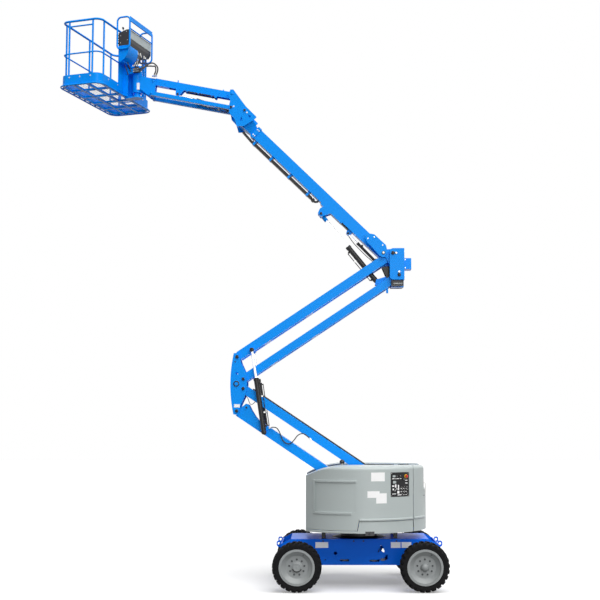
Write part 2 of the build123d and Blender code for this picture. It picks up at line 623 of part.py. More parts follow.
def mid_pivot():
    x0, z0 = MAIN_LOW[0], (MAIN_LOW[1] + MAIN_HIGH[1]) / 2
    half = [(20, 525), (70, 350), (150, 178), (167, 35)]
    right = [(x0 + x, z0 + z) for x, z in half] + [(x0 + x, z0 - z) for x, z in reversed(half)]
    low_left = (x0 - 57, z0 - 515)
    high_left = (x0 - 57, z0 + 515)
    edge = (Polyline(high_left, *right, low_left)
            + ThreePointArc(low_left, (x0 - 111, z0), high_left))
    side = prism(make_face(edge), PIVOT_PLATE_IN, PIVOT_PLATE_OUT)
    side -= disc((x0 - 3, z0 + 175), 22, 0, 400)
    solid = both_sides(side)
    web_outer = ThreePointArc((x0 - 84, z0 - 300), (x0 - 103, z0), (x0 - 84, z0 + 300))
    web_inner = ThreePointArc((x0 - 72, z0 + 300), (x0 - 91, z0), (x0 - 72, z0 - 300))
    web = make_face(web_outer + Line((x0 - 84, z0 + 300), (x0 - 72, z0 + 300)) + web_inner
                    + Line((x0 - 72, z0 - 300), (x0 - 84, z0 - 300)))
    solid += prism(web, -PIVOT_PLATE_IN - 2, PIVOT_PLATE_IN + 2)
    solid += disc((x0 - 10, z0), 32, -PIVOT_PLATE_OUT - 8, PIVOT_PLATE_OUT + 8)
    for pin in (MAIN_LOW, MAIN_HIGH, LINK_LOW, LINK_HIGH):
        solid += disc(pin, PIN_RADIUS, -PIVOT_PLATE_OUT - 10, PIVOT_PLATE_OUT + 10)
    return solid


def upper_arm():
    solid = bar(MAIN_HIGH, TOP_MAIN, UPPER_ARM_DEPTH, MAIN_EYE, ARM_INNER, ARM_OUTER, ARM_WALL)
    eye = RISER_CYL_HIGH
    solid += disc(eye, 24, ARM_OUTER - 30, RISER_CYL_Y - 23) + disc(eye, 40, ARM_OUTER - 8, RISER_CYL_Y - 47)
    solid = both_sides(solid)
    for along in (500, 1350):
        tie = [upper_riser(a, b) for a, b in ((along, -75), (along + 140, -75), (along + 140, -63),
                                              (along, -63))]
        solid += plate(tie, -ARM_INNER - 4, ARM_INNER + 4)
    return bored(solid, MAIN_HIGH, TOP_MAIN)


def upper_link():
    solid = both_sides(bar(LINK_HIGH, TOP_LINK, UPPER_LINK_DEPTH, LINK_EYE, ARM_INNER, ARM_OUTER, ARM_WALL))
    link = side_frame(LINK_HIGH, RISER_ANGLE)
    for along in (500, 1350):
        tie = [link(a, b) for a, b in ((along, -67), (along + 140, -67), (along + 140, -55), (along, -55))]
        solid += plate(tie, -ARM_INNER - 4, ARM_INNER + 4)
    return bored(solid, LINK_HIGH, TOP_LINK)


def top_plate(points, y_low, y_high, corner=0):
    """Plate of the upper pivot, its outline measured from the pivot's main pin."""
    return plate([shifted(TOP_MAIN, p) for p in points], y_low, y_high, corner)


def top_block(x_low, x_high, y_low, y_high, z_low, z_high):
    return block(TOP_MAIN[0] + x_low, TOP_MAIN[0] + x_high, y_low, y_high, TOP_MAIN[1] + z_low,
                 TOP_MAIN[1] + z_high)


def upper_pivot():
    back = 191
    outer = Polygon(*[shifted(TOP_MAIN, p) for p in ((-53, -456), (back, -456), (back, 82),
                                                     (-53, 82))], align=None)
    outer = fillet(outer.vertices().filter_by(lambda v: v.X < TOP_MAIN[0]), 60)
    solid = both_sides(prism(outer, COVER_PLATE_IN, COVER_PLATE_OUT))
    cheek = [(-198, -50), (-113, -70), (37, -430), (back, -450), (back, 70), (-23, 75), (-183, 62)]
    solid += both_sides(top_plate(cheek, CHEEK_IN, CHEEK_OUT, corner=20))
    solid += top_block(back - 16, back + 4, -COVER_PLATE_OUT, COVER_PLATE_OUT, -456, 82)
    # valve housing on the back plate
    housing = top_block(back, back + 133, -110, 110, -260, -70)
    solid += fillet(housing.edges().filter_by(Axis.Z).sort_by(Axis.X)[-2:], 30)
    solid += top_block(-23, back, -90, 90, -565, -550)
    solid += top_block(back - 16, back, -90, 90, -565, -450)
    lug = [(-299, -520), (-229, -545), (back - 8, -550), (back - 8, -350), (57, -290), (-133, -390),
           (-279, -435)]
    solid += both_sides(top_plate(lug, 58, 78))
    level = [(-283, -170), (-253, -178), (57, -310), (back - 8, -310), (back - 8, -150), (-23, -118),
             (-253, -120), (-283, -126)]
    solid += both_sides(top_plate(level, 34, 50))
    reach = COVER_PLATE_OUT + 8
    for pin, radius, half in ((TOP_MAIN, PIN_RADIUS, reach), (TOP_LINK, PIN_RADIUS, reach),
                              (LIFT_BASE, 24, 84), (LEVEL_BASE, 14, 54)):
        solid += disc(pin, radius, -half, half)
    return solid + both_sides(disc(BOOM_PIVOT, PIN_RADIUS, CHEEK_IN - 4, BOOT_OUT + 4))


def riser_barrels():
    barrel = cylinder_barrel(RISER_CYL_LOW, RISER_CYL_HIGH, 906, 42, 33, RISER_CYL_Y, 44)
    return both_sides(barrel - disc(RISER_CYL_LOW, 22 + PIN_CLEARANCE, 200, 330))


def riser_rods():
    return both_sides(cylinder_rod(RISER_CYL_HIGH, RISER_CYL_LOW, 860, 22, 33, RISER_CYL_Y, 36, 18))


# ---------------------------------------------------------------- primary boom and extension
def boom_plate(points, y_low, y_high, corner=0):
    return plate([boom(a, b) for a, b in points], y_low, y_high, corner)


def boom_box(start, end, low, high, half_width):
    return boom_plate([(start, low), (end, low), (end, high), (start, high)], -half_width, half_width)


def boom_section(along, low, high, half_width):
    """Rectangle across the boom at a distance along it."""
    x, z = boom(along, 0)
    direction = Vector(-cos(radians(BOOM_ANGLE)), 0, sin(radians(BOOM_ANGLE)))
    plane = Plane(origin=(x, 0, z), x_dir=(0, -1, 0), z_dir=direction)
    return plane * Pos(0, (low + high) / 2) * Rectangle(2 * half_width, high - low)


def primary_boom():
    deep = BOOM_DEPTH / 2
    wide = BOOM_HALF_WIDTH
    solid = boom_box(-30, BOOM_LENGTH, -deep, deep, wide)
    solid += boom_box(880, 1380, -deep - 25, -deep + 2, wide)
    solid += boom_box(BOOM_LENGTH - 70, BOOM_LENGTH, -deep - 14, deep + 14, wide + 14)
    solid -= boom_box(-40, BOOM_LENGTH - 60, -deep + BOOM_WALL, deep - BOOM_WALL, wide - BOOM_WALL)
    solid -= boom_box(BOOM_LENGTH - 61, BOOM_LENGTH + 1, -EXTENSION_DEPTH / 2 - WEAR_PAD_GAP,
                      EXTENSION_DEPTH / 2 + WEAR_PAD_GAP, EXTENSION_HALF_WIDTH + WEAR_PAD_GAP)
    solid -= boom_box(890, 1370, -deep - 25 + BOOM_WALL, -deep + 1, wide - BOOM_WALL)
    boot = [(-62, -40), (-40, -70), (20, -80), (330, -60), (420, -20), (420, 60), (330, 120),
            (60, 125), (-40, 60)]
    solid += both_sides(boom_plate(boot, BOOT_IN, BOOT_OUT, corner=20))
    solid += boom_box(90, 330, 100, 114, BOOT_OUT - 1)
    solid += boom_box(120, 300, deep - 2, 101, wide)
    along, drop = LIFT_EYE
    lug = [(along - 120, -deep - 20), (along + 60, -deep - 20), (along + 75, drop + 44),
           (along + 45, drop - 36),
           (along - 35, drop - 46)]
    solid += both_sides(boom_plate(lug, 56, wide))
    along, drop = LEVEL_EYE
    level = [(along - 55, -deep + 4), (along + 65, -deep + 4), (along + 26, drop - 22),
             (along - 22, drop - 26)]
    solid += both_sides(boom_plate(level, 34, 50))
    solid += both_sides(disc(boom(*LIFT_EYE), 24, wide - 1, wide + 6))
    solid += both_sides(disc(boom(*LEVEL_EYE), 14, 49, 54))
    return bored(solid, BOOM_PIVOT)


def extension():
    """Inner boom tube with its flared head, which carries the jib base's shaft."""
    deep = EXTENSION_DEPTH / 2
    wide = EXTENSION_HALF_WIDTH
    wall = EXTENSION_WALL
    start = BOOM_LENGTH - EXTENSION_STROKE - EXTENSION_OVERLAP
    neck = BOOM_LENGTH + 8
    mouth = HEAD_PIVOT[0] - 102
    flare = JIB_PLATE_IN - 12
    solid = boom_box(start, neck + 10, -deep, deep, wide)
    solid += loft([boom_section(neck, -deep, deep, wide), boom_section(mouth, -100, 150, flare)])
    side = [(mouth - 2, -100), (mouth - 2, 150), (mouth + 70, 195), (mouth + 150, 160), (mouth + 158, 90),
            (mouth + 40, -60)]
    solid += both_sides(boom_plate(side, flare - 12, flare))
    solid -= boom_box(start - 1, neck + 1, -deep + wall, deep - wall, wide - wall)
    solid -= loft([boom_section(neck, -deep + wall, deep - wall, wide - wall),
                   boom_section(mouth + 1, -100 + wall, 150 - wall, flare - 12)])
    solid += both_sides(disc(HEAD, 55, flare - 12, JIB_PLATE_IN - 5))
    solid += disc(boom(*SLAVE_ANCHOR), 14, -wide + 2, wide - 2)
    return solid - disc(HEAD, 32 + PIN_CLEARANCE, -300, 300)


def lift_barrel():
    target = boom(*LIFT_EYE)
    return cylinder_barrel(LIFT_BASE, target, 804, 44, 35, 0, 46) - disc(LIFT_BASE, 24
                                                                         + PIN_CLEARANCE, -90, 90)


def lift_rod():
    return cylinder_rod(boom(*LIFT_EYE), LIFT_BASE, 950, 25, 35, 0, 40, 50)


def level_barrel():
    target = boom(*LEVEL_EYE)
    return cylinder_barrel(LEVEL_BASE, target, 480, 24, 18, 0, 26) - disc(LEVEL_BASE, 14
                                                                          + PIN_CLEARANCE, -60, 60)


def level_rod():
    return cylinder_rod(boom(*LEVEL_EYE), LEVEL_BASE, 470, 12, 18, 0, 24, 28)


# ---------------------------------------------------------------- jib
def jib_base():
    """Two side plates that carry the jib, on the shaft through the extension's head."""
    outline = [(-245, 366), (-195, 366), (20, 71), (209, -119), (165, -164), (-6, -278), (-135, -284),
               (-169, -155),
               (-255, -57), (-275, 46), (-250, 166), (-277, 296)]
    side = plate([shifted(HEAD, p) for p in outline], JIB_PLATE_IN, JIB_PLATE_OUT, corner=10)
    side -= plate([shifted(HEAD, p) for p in ((-81, -184), (-35, -184), (-55, -104))], 0, 400)
    side -= plate([shifted(HEAD, p) for p in ((60, -75), (120, -105), (75, -135))], 0, 400)
    solid = both_sides(side)
    solid += disc(HEAD, 32, -JIB_PLATE_OUT - 8, JIB_PLATE_OUT + 8)
    arm = [(HEAD[0] - 45, HEAD[1] - 10), (HEAD[0] + 45, HEAD[1] - 10), (SLAVE_EYE[0] + 30, SLAVE_EYE[1] - 20),
           (SLAVE_EYE[0] - 30, SLAVE_EYE[1] - 20)]
    solid += both_sides(plate(arm, 24, 40)) + disc(HEAD, 50, -48, 48)
    solid += both_sides(disc(SLAVE_EYE, 14, 39, 46))
    for pin in (JIB_PIN, JIB_LINK_PIN):
        solid += disc(pin, 22, -JIB_PLATE_OUT - 8, JIB_PLATE_OUT + 8)
    return solid


def slave_barrel():
    target = SLAVE_EYE
    base = boom(*SLAVE_ANCHOR)
    return cylinder_barrel(base, target, 345, 26, 20, 0, 26) - disc(base, 14 + PIN_CLEARANCE, -90, 90)


def slave_rod():
    return cylinder_rod(SLAVE_EYE, boom(*SLAVE_ANCHOR), 530, 14, 20, 0, 22, 19)


def jib_boom():
    """Jib arm: a box whose underside is open over the lift cylinder that folds into it."""
    deep = JIB_DEPTH / 2
    solid = bar(JIB_PIN, JIB_END, JIB_DEPTH, 52, -JIB_HALF_WIDTH, JIB_HALF_WIDTH, JIB_WALL)
    well = [jib(a, b) for a, b in ((20, -deep - 20), (1130, -deep - 20), (1080, deep - JIB_WALL),
                                   (62, deep - JIB_WALL),
                               (62, -deep + 18), (20, -deep + 10))]
    solid -= plate(well, -JIB_HALF_WIDTH + JIB_WALL, JIB_HALF_WIDTH - JIB_WALL)
    lug = [jib(a, b) for a, b in ((840, -deep + 20), (1000, -deep + 20), (985, -160), (925, -168))]
    solid += both_sides(plate(lug, 42, JIB_HALF_WIDTH - 1))
    solid += both_sides(disc(jib(*JIB_CYLINDER_EYE), 18, JIB_HALF_WIDTH - 3, JIB_HALF_WIDTH + 4))
    return bored(solid, JIB_PIN, JIB_END, radius=22)


def jib_link():
    tube = bar(JIB_LINK_PIN, JIB_LINK_END, JIB_LINK_DEPTH, 36, JIB_LINK_IN, JIB_LINK_OUT, JIB_WALL)
    return bored(both_sides(tube), JIB_LINK_PIN, JIB_LINK_END, radius=22)


def jib_barrel():
    target = jib(*JIB_CYLINDER_EYE)
    barrel = cylinder_barrel(JIB_LINK_PIN, target, 640, 32, 25, 0, 38)
    return barrel - disc(JIB_LINK_PIN, 22 + PIN_CLEARANCE, -90, 90)


def jib_rod():
    return cylinder_rod(jib(*JIB_CYLINDER_EYE), JIB_LINK_PIN, 590, 18, 25, 0, 30, 34)


def platform_bracket():
    """Rotator column with the two plates that carry it on the jib's and the link's end pins."""
    column = ROTATOR_X + 40
    side = [(column, JIB_END[1] - 130), (column, JIB_END[1] + 95), (JIB_END[0] - 40, JIB_END[1] + 50),
            (JIB_END[0] + 30, JIB_END[1] + 42), (JIB_END[0] + 48, JIB_END[1] - 10),
            (JIB_LINK_END[0] + 40, JIB_LINK_END[1]),
            (JIB_LINK_END[0] + 20, JIB_LINK_END[1] - 36), (JIB_LINK_END[0] - 34, JIB_LINK_END[1] - 34)]
    solid = both_sides(plate(side, 68, 86, corner=12))
    solid += disc(JIB_END, 22, -92, 92) + disc(JIB_LINK_END, 22, -JIB_LINK_OUT - 8, JIB_LINK_OUT + 8)
    middle = (ROTATOR_LOW + ROTATOR_HIGH) / 2
    solid += Pos(ROTATOR_X, 0, middle) * Cylinder(ROTATOR_RADIUS + 8, 380)
    return solid + Pos(ROTATOR_X, 0, middle) * Cylinder(ROTATOR_RADIUS - 20, ROTATOR_HIGH - ROTATOR_LOW - 1)


# ---------------------------------------------------------------- platform, drawn square and then turned
RAIL_LEFT = -PLATFORM_NEAR - PLATFORM_WIDTH + POST_LINE
RAIL_RIGHT = -PLATFORM_NEAR - POST_LINE
RAIL_END = PLATFORM_LENGTH / 2 - POST_LINE
GATE_POSTS = (GATE_X - GATE_WIDTH / 2 - 30, GATE_X + GATE_WIDTH / 2 + 30)
POST_PLACES = ((RAIL_LEFT, -RAIL_END + POST_INSET), (RAIL_LEFT, 0), (RAIL_LEFT, RAIL_END - POST_INSET),
               (RAIL_RIGHT, -RAIL_END + POST_INSET), (RAIL_RIGHT, RAIL_END - POST_INSET),
               (RAIL_LEFT + POST_INSET, -RAIL_END), (RAIL_RIGHT - POST_INSET, -RAIL_END),
               (GATE_POSTS[0], RAIL_END), (GATE_POSTS[1], RAIL_END))


def on_platform(solid):
    return Pos(ROTATOR_X, 0, 0) * Rot(0, 0, PLATFORM_YAW) * solid


def platform_plan(inset=0):
    width = PLATFORM_WIDTH - 2 * inset
    length = PLATFORM_LENGTH - 2 * inset
    centre_x = -PLATFORM_NEAR - PLATFORM_WIDTH / 2
    return Pos(centre_x, 0) * RectangleRounded(width, length, PLATFORM_CORNER - inset)


def rail_loop(height, radius, inset):
    path = (Pos(0, 0, height) * platform_plan(inset)).wires()[0]
    return sweep(Plane(origin=path @ 0, z_dir=path % 0) * Circle(radius), path=path)


def platform_floor():
    """Floor frame of bars round the edge and across, open between them for the grating."""
    ring = platform_plan() - platform_plan(FLOOR_BAR)
    solid = extrude(Pos(0, 0, FLOOR_BOTTOM) * ring, amount=FLOOR_DEPTH)
    left = -PLATFORM_NEAR - PLATFORM_WIDTH
    half = PLATFORM_LENGTH / 2
    for y in (-0.6, -0.2, 0.2, 0.6):
        solid += block(left + 20, -PLATFORM_NEAR - 20, y * half - 20, y * half + 20, FLOOR_BOTTOM,
                       FLOOR_BOTTOM + 35)
    for x in (0.33, 0.67):
        middle = left + x * PLATFORM_WIDTH
        solid += block(middle - 20, middle + 20, -half + 20, half - 20, FLOOR_BOTTOM, FLOOR_BOTTOM + 35)
    return solid


def toe_board():
    ring = platform_plan() - platform_plan(6)
    return extrude(Pos(0, 0, FLOOR_BOTTOM + FLOOR_DEPTH) * ring, amount=TOE_HEIGHT)


def rail_posts():
    low = FLOOR_BOTTOM + FLOOR_DEPTH
    return Compound([rod((x, y, low), (x, y, TOP_RAIL - RAIL_RADIUS - 0.3),
                         POST_RADIUS) for x, y in POST_PLACES])


def top_rail():
    return rail_loop(TOP_RAIL, RAIL_RADIUS, RAIL_RADIUS)


def mid_rail():
    """Middle rail in lengths between the posts, coped to them, with a second bar over its near short side."""
    reach = POST_RADIUS + 0.3
    gap = block(GATE_POSTS[0] - reach, GATE_POSTS[1] + reach, RAIL_END - 60, RAIL_END + 60, MID_RAIL - 40,
                MID_RAIL + 40)
    solid = rail_loop(MID_RAIL, MID_RAIL_RADIUS, POST_LINE) - gap
    solid += rod((RAIL_LEFT + POST_INSET, -RAIL_END, TOP_RAIL - 90),
                 (RAIL_RIGHT - POST_INSET, -RAIL_END, TOP_RAIL - 90),
                 MID_RAIL_RADIUS)
    for x, y in POST_PLACES:
        solid -= rod((x, y, MID_RAIL - 60), (x, y, TOP_RAIL), reach)
    return solid


def platform_gate():
    """Swing gate of the far short side, hinged on its post away from the boom."""
    y = RAIL_END
    low, high = TOE_TOP + 25, TOP_RAIL - 110
    left, right = GATE_X - GATE_WIDTH / 2, GATE_X + GATE_WIDTH / 2
    solid = rod((left, y, low), (left, y, high), 12) + rod((right, y, low), (right, y, high), 12)
    for z in (low + 12, MID_RAIL, high - 12):
        solid += rod((left, y, z), (right, y, z), 12)
    for z in (low + 90, high - 90):
        collar = Pos(left - 30, y, z) * Cylinder(24, 40) + block(left - 30, left, y - 8, y + 8, z
                                                                 - 20, z + 20)
        solid += collar - Pos(left - 30, y, z) * Cylinder(16.3, 60)
    return solid


def platform_mount():
    """Bracket that turns with the platform: two flanges round the rotator and two tapered plates."""
    low, high = ROTATOR_LOW - 28, ROTATOR_HIGH + 28
    solid = Pos(0, 0, ROTATOR_LOW - 14) * Cylinder(ROTATOR_RADIUS + 14, 28)
    solid += Pos(0, 0, ROTATOR_HIGH + 14) * Cylinder(ROTATOR_RADIUS + 14, 28)
    for z in (low, ROTATOR_HIGH):
        solid += block(-PLATFORM_NEAR + 4, -40, -70, 70, z, z + 28)
    face = -PLATFORM_NEAR
    solid += block(face + 0.3, face + 16, -110, 110, FLOOR_BOTTOM, high)
    rib = [(face + 10, FLOOR_BOTTOM), (face + 34, FLOOR_BOTTOM), (face + 90, low + 20),
           (face + 90, high - 20),
           (face + 50, high), (face + 10, high)]
    return solid + both_sides(plate(rib, 96, 110))


def console_guard():
    """Two hoops that stand outward from the top rail, joined by twin rails round the console."""
    inner = -PLATFORM_NEAR + GUARD_RADIUS + 0.3
    outer = -PLATFORM_NEAR + GUARD_REACH
    low = JIB_END[1] + GUARD_BOTTOM_RISE
    high = JIB_END[1] + GUARD_TOP_RISE
    solid = None
    for y in (CONSOLE_NEAR - 17, CONSOLE_FAR + 17):
        frame = Plane(origin=((inner + outer) / 2, y, (low + high) / 2), x_dir=(1, 0, 0), z_dir=(0, -1, 0))
        path = (frame * RectangleRounded(outer - inner, high - low, 70)).wires()[0]
        hoop = sweep(Plane(origin=path @ 0, z_dir=path % 0) * Circle(GUARD_RADIUS), path=path)
        solid = hoop if solid is None else solid + hoop
    for z in (high - 75, high - 210):
        solid += rod((outer, CONSOLE_NEAR - 17, z), (outer, CONSOLE_FAR + 17, z), GUARD_RADIUS - 3)
    return solid


def control_console():
    """Platform control box between the hoops, with a sloping top, and the shelf behind it."""
    low = JIB_END[1] + CONSOLE_BOTTOM_RISE
    high = JIB_END[1] + CONSOLE_TOP_RISE
    inner = -PLATFORM_NEAR + 2 * GUARD_RADIUS + 1
    outer = -PLATFORM_NEAR + GUARD_REACH - GUARD_RADIUS - 1
    side = [(inner, low), (outer - 40, low), (outer, low + 60), (outer, high), (outer - 60, high),
            (inner, high - 50)]
    solid = plate(side, CONSOLE_NEAR - 1, CONSOLE_FAR + 1)
    return solid


def console_cover():
    """Curved cover of the lines below the console, down to the rotator's top."""
    low = ROTATOR_HIGH + 34
    high = JIB_END[1] + CONSOLE_BOTTOM_RISE - 0.3
    inner = -PLATFORM_NEAR + 34
    outer = -PLATFORM_NEAR + GUARD_REACH - 30
    outline = make_face(Polyline((inner, high), (inner, low), (inner + 40, low))
                        + ThreePointArc((inner + 40, low), (outer - 30, (low + high) / 2 - 30), (outer, high))
                        + Line((outer, high), (inner, high)))
    solid = prism(outline, CONSOLE_NEAR, -20)
    hollow = make_face(Polyline((inner + 8, high + 1), (inner + 8, low - 1), (inner + 32, low - 1))
                       + ThreePointArc((inner + 32, low - 1), (outer - 40, (low + high) / 2 - 26),
                                       (outer - 9, high + 1))
                       + Line((outer - 9, high + 1), (inner + 8, high + 1)))
    solid -= prism(hollow, CONSOLE_NEAR + 8, -28)
    # shelf between the cover and the platform's mounting plate
    return solid + block(-PLATFORM_NEAR + 0.3, outer - 90, CONSOLE_NEAR + 20, 40, low - 6, low + 2)


# ---------------------------------------------------------------- output
def place_wheel(solid, x, side):
    turn = 0 if side < 0 else 180
    return Pos(x, side * WHEEL_Y, TYRE_RADIUS) * Rot(0, 0, turn) * solid


def build():
    nodes = {
        "chassis_frame": chassis_frame(),
        "slew_ring": slew_ring(),
        "drive_axle": drive_axle(),
        "steer_axle": steer_axle(),
        "steering_rod": steering_rod(),
        "left_knuckle": knuckle(),
        "right_knuckle": mirror(knuckle(), about=Plane.XZ),
        "slew_collar": slew_collar(),
        "turntable_deck": deck(),
        "lower_skirt": lower_skirt(),
        "control_side_cover": cover(-1),
        "ground_controls": ground_controls(),
        "emergency_stop": emergency_stop(),
        "engine_side_cover": cover(1),
        "control_side_latch": cover_latch(-1),
        "engine_side_latch": cover_latch(1),
        "tail_cover": tail_cover(),
        "counterweight": counterweight(),
        "engine_block": engine_block(),
        "tanks": tanks(),
        "lower_riser_arm": lower_arm(),
        "lower_riser_link": lower_link(),
        "mid_pivot": mid_pivot(),
        "upper_riser_arm": upper_arm(),
        "upper_riser_link": upper_link(),
        "upper_pivot": upper_pivot(),
        "riser_barrels": riser_barrels(),
        "riser_rods": riser_rods(),
        "primary_boom": primary_boom(),
        "boom_extension": extension(),
        "lift_barrel": lift_barrel(),
        "lift_rod": lift_rod(),
        "level_barrel": level_barrel(),
        "level_rod": level_rod(),
        "jib_base": jib_base(),
        "slave_barrel": slave_barrel(),
        "slave_rod": slave_rod(),
        "jib_boom": jib_boom(),
        "jib_link": jib_link(),
        "jib_barrel": jib_barrel(),
        "jib_rod": jib_rod(),
        "platform_bracket": platform_bracket(),
        "platform_floor": on_platform(platform_floor()),
        "toe_board": on_platform(toe_board()),
        "top_rail": on_platform(top_rail()),
        "mid_rail": on_platform(mid_rail()),
        "rail_posts": on_platform(rail_posts()),
        "platform_gate": on_platform(platform_gate()),
        "platform_mount": on_platform(platform_mount()),
        "console_guard": on_platform(console_guard()),
        "control_console": on_platform(control_console()),
        "console_cover": on_platform(console_cover()),
    }
    drive_rim = rim(DRIVE_CAP_RADIUS, 26)
    steer_rim = rim(STEER_CAP_RADIUS, 60)
    rubber = tyre()
    for name, x, side, hub in (("drive_left", -HALF_BASE, -1, drive_rim),
                               ("drive_right", -HALF_BASE, 1, drive_rim),
                               ("steer_left", HALF_BASE, -1, steer_rim),
                               ("steer_right", HALF_BASE, 1, steer_rim)):
        nodes[name + "_tyre"] = place_wheel(rubber, x, side)
        nodes[name + "_rim"] = place_wheel(hub, x, side)
    return nodes


os.makedirs("parts", exist_ok=True)
for node_name, node_solid in build().items():
    export_step(node_solid, "parts/" + node_name + ".step")
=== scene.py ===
"""Looks of an articulating boom lift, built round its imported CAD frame.

Metres, +Z up, +X towards the steering end; the picture shows the -Y side.
"""
import json
import math

import bmesh
import bpy
from mathutils import Matrix, Vector


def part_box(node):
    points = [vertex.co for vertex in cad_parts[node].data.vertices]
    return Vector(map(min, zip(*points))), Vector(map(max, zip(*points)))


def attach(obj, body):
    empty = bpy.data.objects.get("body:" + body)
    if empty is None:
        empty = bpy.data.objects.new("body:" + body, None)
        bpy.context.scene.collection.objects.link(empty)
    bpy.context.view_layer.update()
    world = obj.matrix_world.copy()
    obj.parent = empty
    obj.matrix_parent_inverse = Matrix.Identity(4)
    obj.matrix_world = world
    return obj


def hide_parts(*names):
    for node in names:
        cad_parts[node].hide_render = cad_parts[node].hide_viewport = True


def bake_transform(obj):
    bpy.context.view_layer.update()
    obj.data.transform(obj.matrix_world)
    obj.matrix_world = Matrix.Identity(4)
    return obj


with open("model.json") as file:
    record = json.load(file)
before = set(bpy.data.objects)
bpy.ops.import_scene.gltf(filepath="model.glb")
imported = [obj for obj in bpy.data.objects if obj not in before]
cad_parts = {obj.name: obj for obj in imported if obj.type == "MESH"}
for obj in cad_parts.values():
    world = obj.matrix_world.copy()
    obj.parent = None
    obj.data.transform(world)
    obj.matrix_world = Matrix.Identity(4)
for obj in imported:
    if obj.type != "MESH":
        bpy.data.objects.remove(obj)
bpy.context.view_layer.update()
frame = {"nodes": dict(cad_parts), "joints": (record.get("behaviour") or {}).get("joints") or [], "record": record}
NODES = frame["nodes"]
JOINTS = {joint["name"]: joint for joint in frame["joints"]}
PIN = {name: Vector(joint["pos_m"]) for name, joint in JOINTS.items() if "pos_m" in joint}
AHEAD = Vector((1, 0, 0))
SIDE = Vector((0, 1, 0))
UP = Vector((0, 0, 1))

# ---------------- camera
CAMERA_PLACE = (-0.55, -18.6, 2.65)
CAMERA_TILT = 4.935         # degrees above level
CAMERA_LENS = 65.5          # mm, on a 36 mm sensor
CAMERA_SHIFT = (-0.0436, 0.05)

# ---------------- light and floor
AMBIENT = 0.35
LAMPS = (                   # name, direction towards the lamp, strength, spread in degrees
    ("key", (0.36, -0.55, 1.2), 2.9, 62),
    ("front", (0.30, -1.0, 0.13), 1.0, 30),
    ("back", (0.2, 0.9, 0.7), 0.35, 60),
)
FLOOR_HALF_SIZE = 60
FLOOR_DROP = 0.0005         # how far the floor lies below the tyres
FLOOR_COLOUR = 0.08         # what the object sees, so that its underside stays dark
FLOOR_SHADED_PART = 0.72    # the share of the floor's white that shadows darken
FLOOR_PLAIN_PART = 0.27     # the share that stays

# ---------------- colours, as light intensities
BOOM_BLUE = (0.0, 0.30, 1.0)
# the chassis's blue: a little darker than the boom's paint, and darkened further as painted shade of the turntable
# above it
CHASSIS_BLUE_WITH_PAINTED_SHADE = (0.0, 0.145, 0.80)
COVER_GREY = (0.44, 0.49, 0.485)
RIM_GREY = (0.265, 0.285, 0.29)
RUBBER = (0.006, 0.006, 0.007)
SATIN_BLACK = (0.006, 0.006, 0.007)
PLASTIC_BLACK = (0.016, 0.016, 0.018)
HOSE_BLACK = (0.011, 0.011, 0.012)
ROD_CHROME = (0.86, 0.87, 0.88)
ZINC = (0.55, 0.55, 0.53)
WEIGHT_GREY = (0.36, 0.39, 0.385)
ENGINE_GREY = (0.05, 0.055, 0.06)
LABEL_WHITE = (0.95, 0.95, 0.95)
STOP_RED = (0.62, 0.012, 0.01)
YELLOW = (0.75, 0.42, 0.01)
GRATING_STEEL = (0.30, 0.33, 0.36)
DUST = (0.30, 0.27, 0.22)
DUST_TOP = 0.9              # height at which the dust on wheels and chassis ends
DRIFT_SCALE, SPOT_SCALE, DUST_SCALE = 1.6, 6.0, 7.0     # of colour, gloss and dust, per metre
WHITE = (1, 1, 1, 1)


# ---------------- materials
class Nodes:
    """Short names for building a node tree. Values may be numbers, colours or sockets."""

    def __init__(self, tree):
        self.tree = tree

    def put(self, socket, value):
        if isinstance(value, bpy.types.NodeSocket):
            self.tree.links.new(value, socket)
        else:
            socket.default_value = value

    def fill(self, node, **inputs):
        for name, value in inputs.items():
            self.put(node.inputs[name.replace("_", " ")], value)
        return node

    def add(self, kind, **inputs):
        return self.fill(self.tree.nodes.new(kind), **inputs)

    def mixed(self, share, low, high):
        """A colour between two others."""
        node = self.add("ShaderNodeMix")
        node.data_type = "RGBA"
        return self.fill(node, Factor=share, A=low, B=high).outputs["Result"]

    def maths(self, operation, *values):
        """Result of a sum on two values."""
        node = self.add("ShaderNodeMath")
        node.operation = operation
        for socket, value in zip(node.inputs, values):
            self.put(socket, value)
        return node.outputs["Value"]


def shaded(name, colour, roughness, metallic=0.0, coat=0.0, specular=0.5, tint=0.06, rough_spread=0.08,
           grain=900.0, depth=0.0001):
    """A surface with slow colour drift, uneven gloss and a fine relief.

    tint is the drift of the colour, grain the relief's fineness per metre, depth its height in metres.
    """
    made = bpy.data.materials.new(name)
    made.use_nodes = True
    made.diffuse_color = (*colour, 1)
    n = Nodes(made.node_tree)
    shader = made.node_tree.nodes["Principled BSDF"]
    place = n.add("ShaderNodeTexCoord").outputs["Object"]
    drift = n.add("ShaderNodeTexNoise", Vector=place, Scale=DRIFT_SCALE, Detail=3.0, Roughness=0.55)
    deep = (*[c * (1 - tint) for c in colour], 1)
    pale = (*[min(1, c * (1 + tint)) for c in colour], 1)
    spots = n.add("ShaderNodeTexNoise", Vector=place, Scale=SPOT_SCALE, Detail=4.0)
    smooth, rough = max(0.02, roughness - rough_spread), roughness + rough_spread
    gloss = n.add("ShaderNodeMapRange", Value=spots.outputs["Fac"], To_Min=smooth, To_Max=rough)
    fine = n.add("ShaderNodeTexNoise", Vector=place, Scale=grain, Detail=2.0)
    bump = n.add("ShaderNodeBump", Height=fine.outputs["Fac"], Strength=0.5, Distance=depth)
    n.fill(shader, Base_Color=n.mixed(drift.outputs["Fac"], deep, pale), Roughness=gloss.outputs["Result"],
           Normal=bump.outputs["Normal"], Metallic=metallic, Coat_Weight=coat, Coat_Roughness=0.08,
           Specular_IOR_Level=specular)
    return made


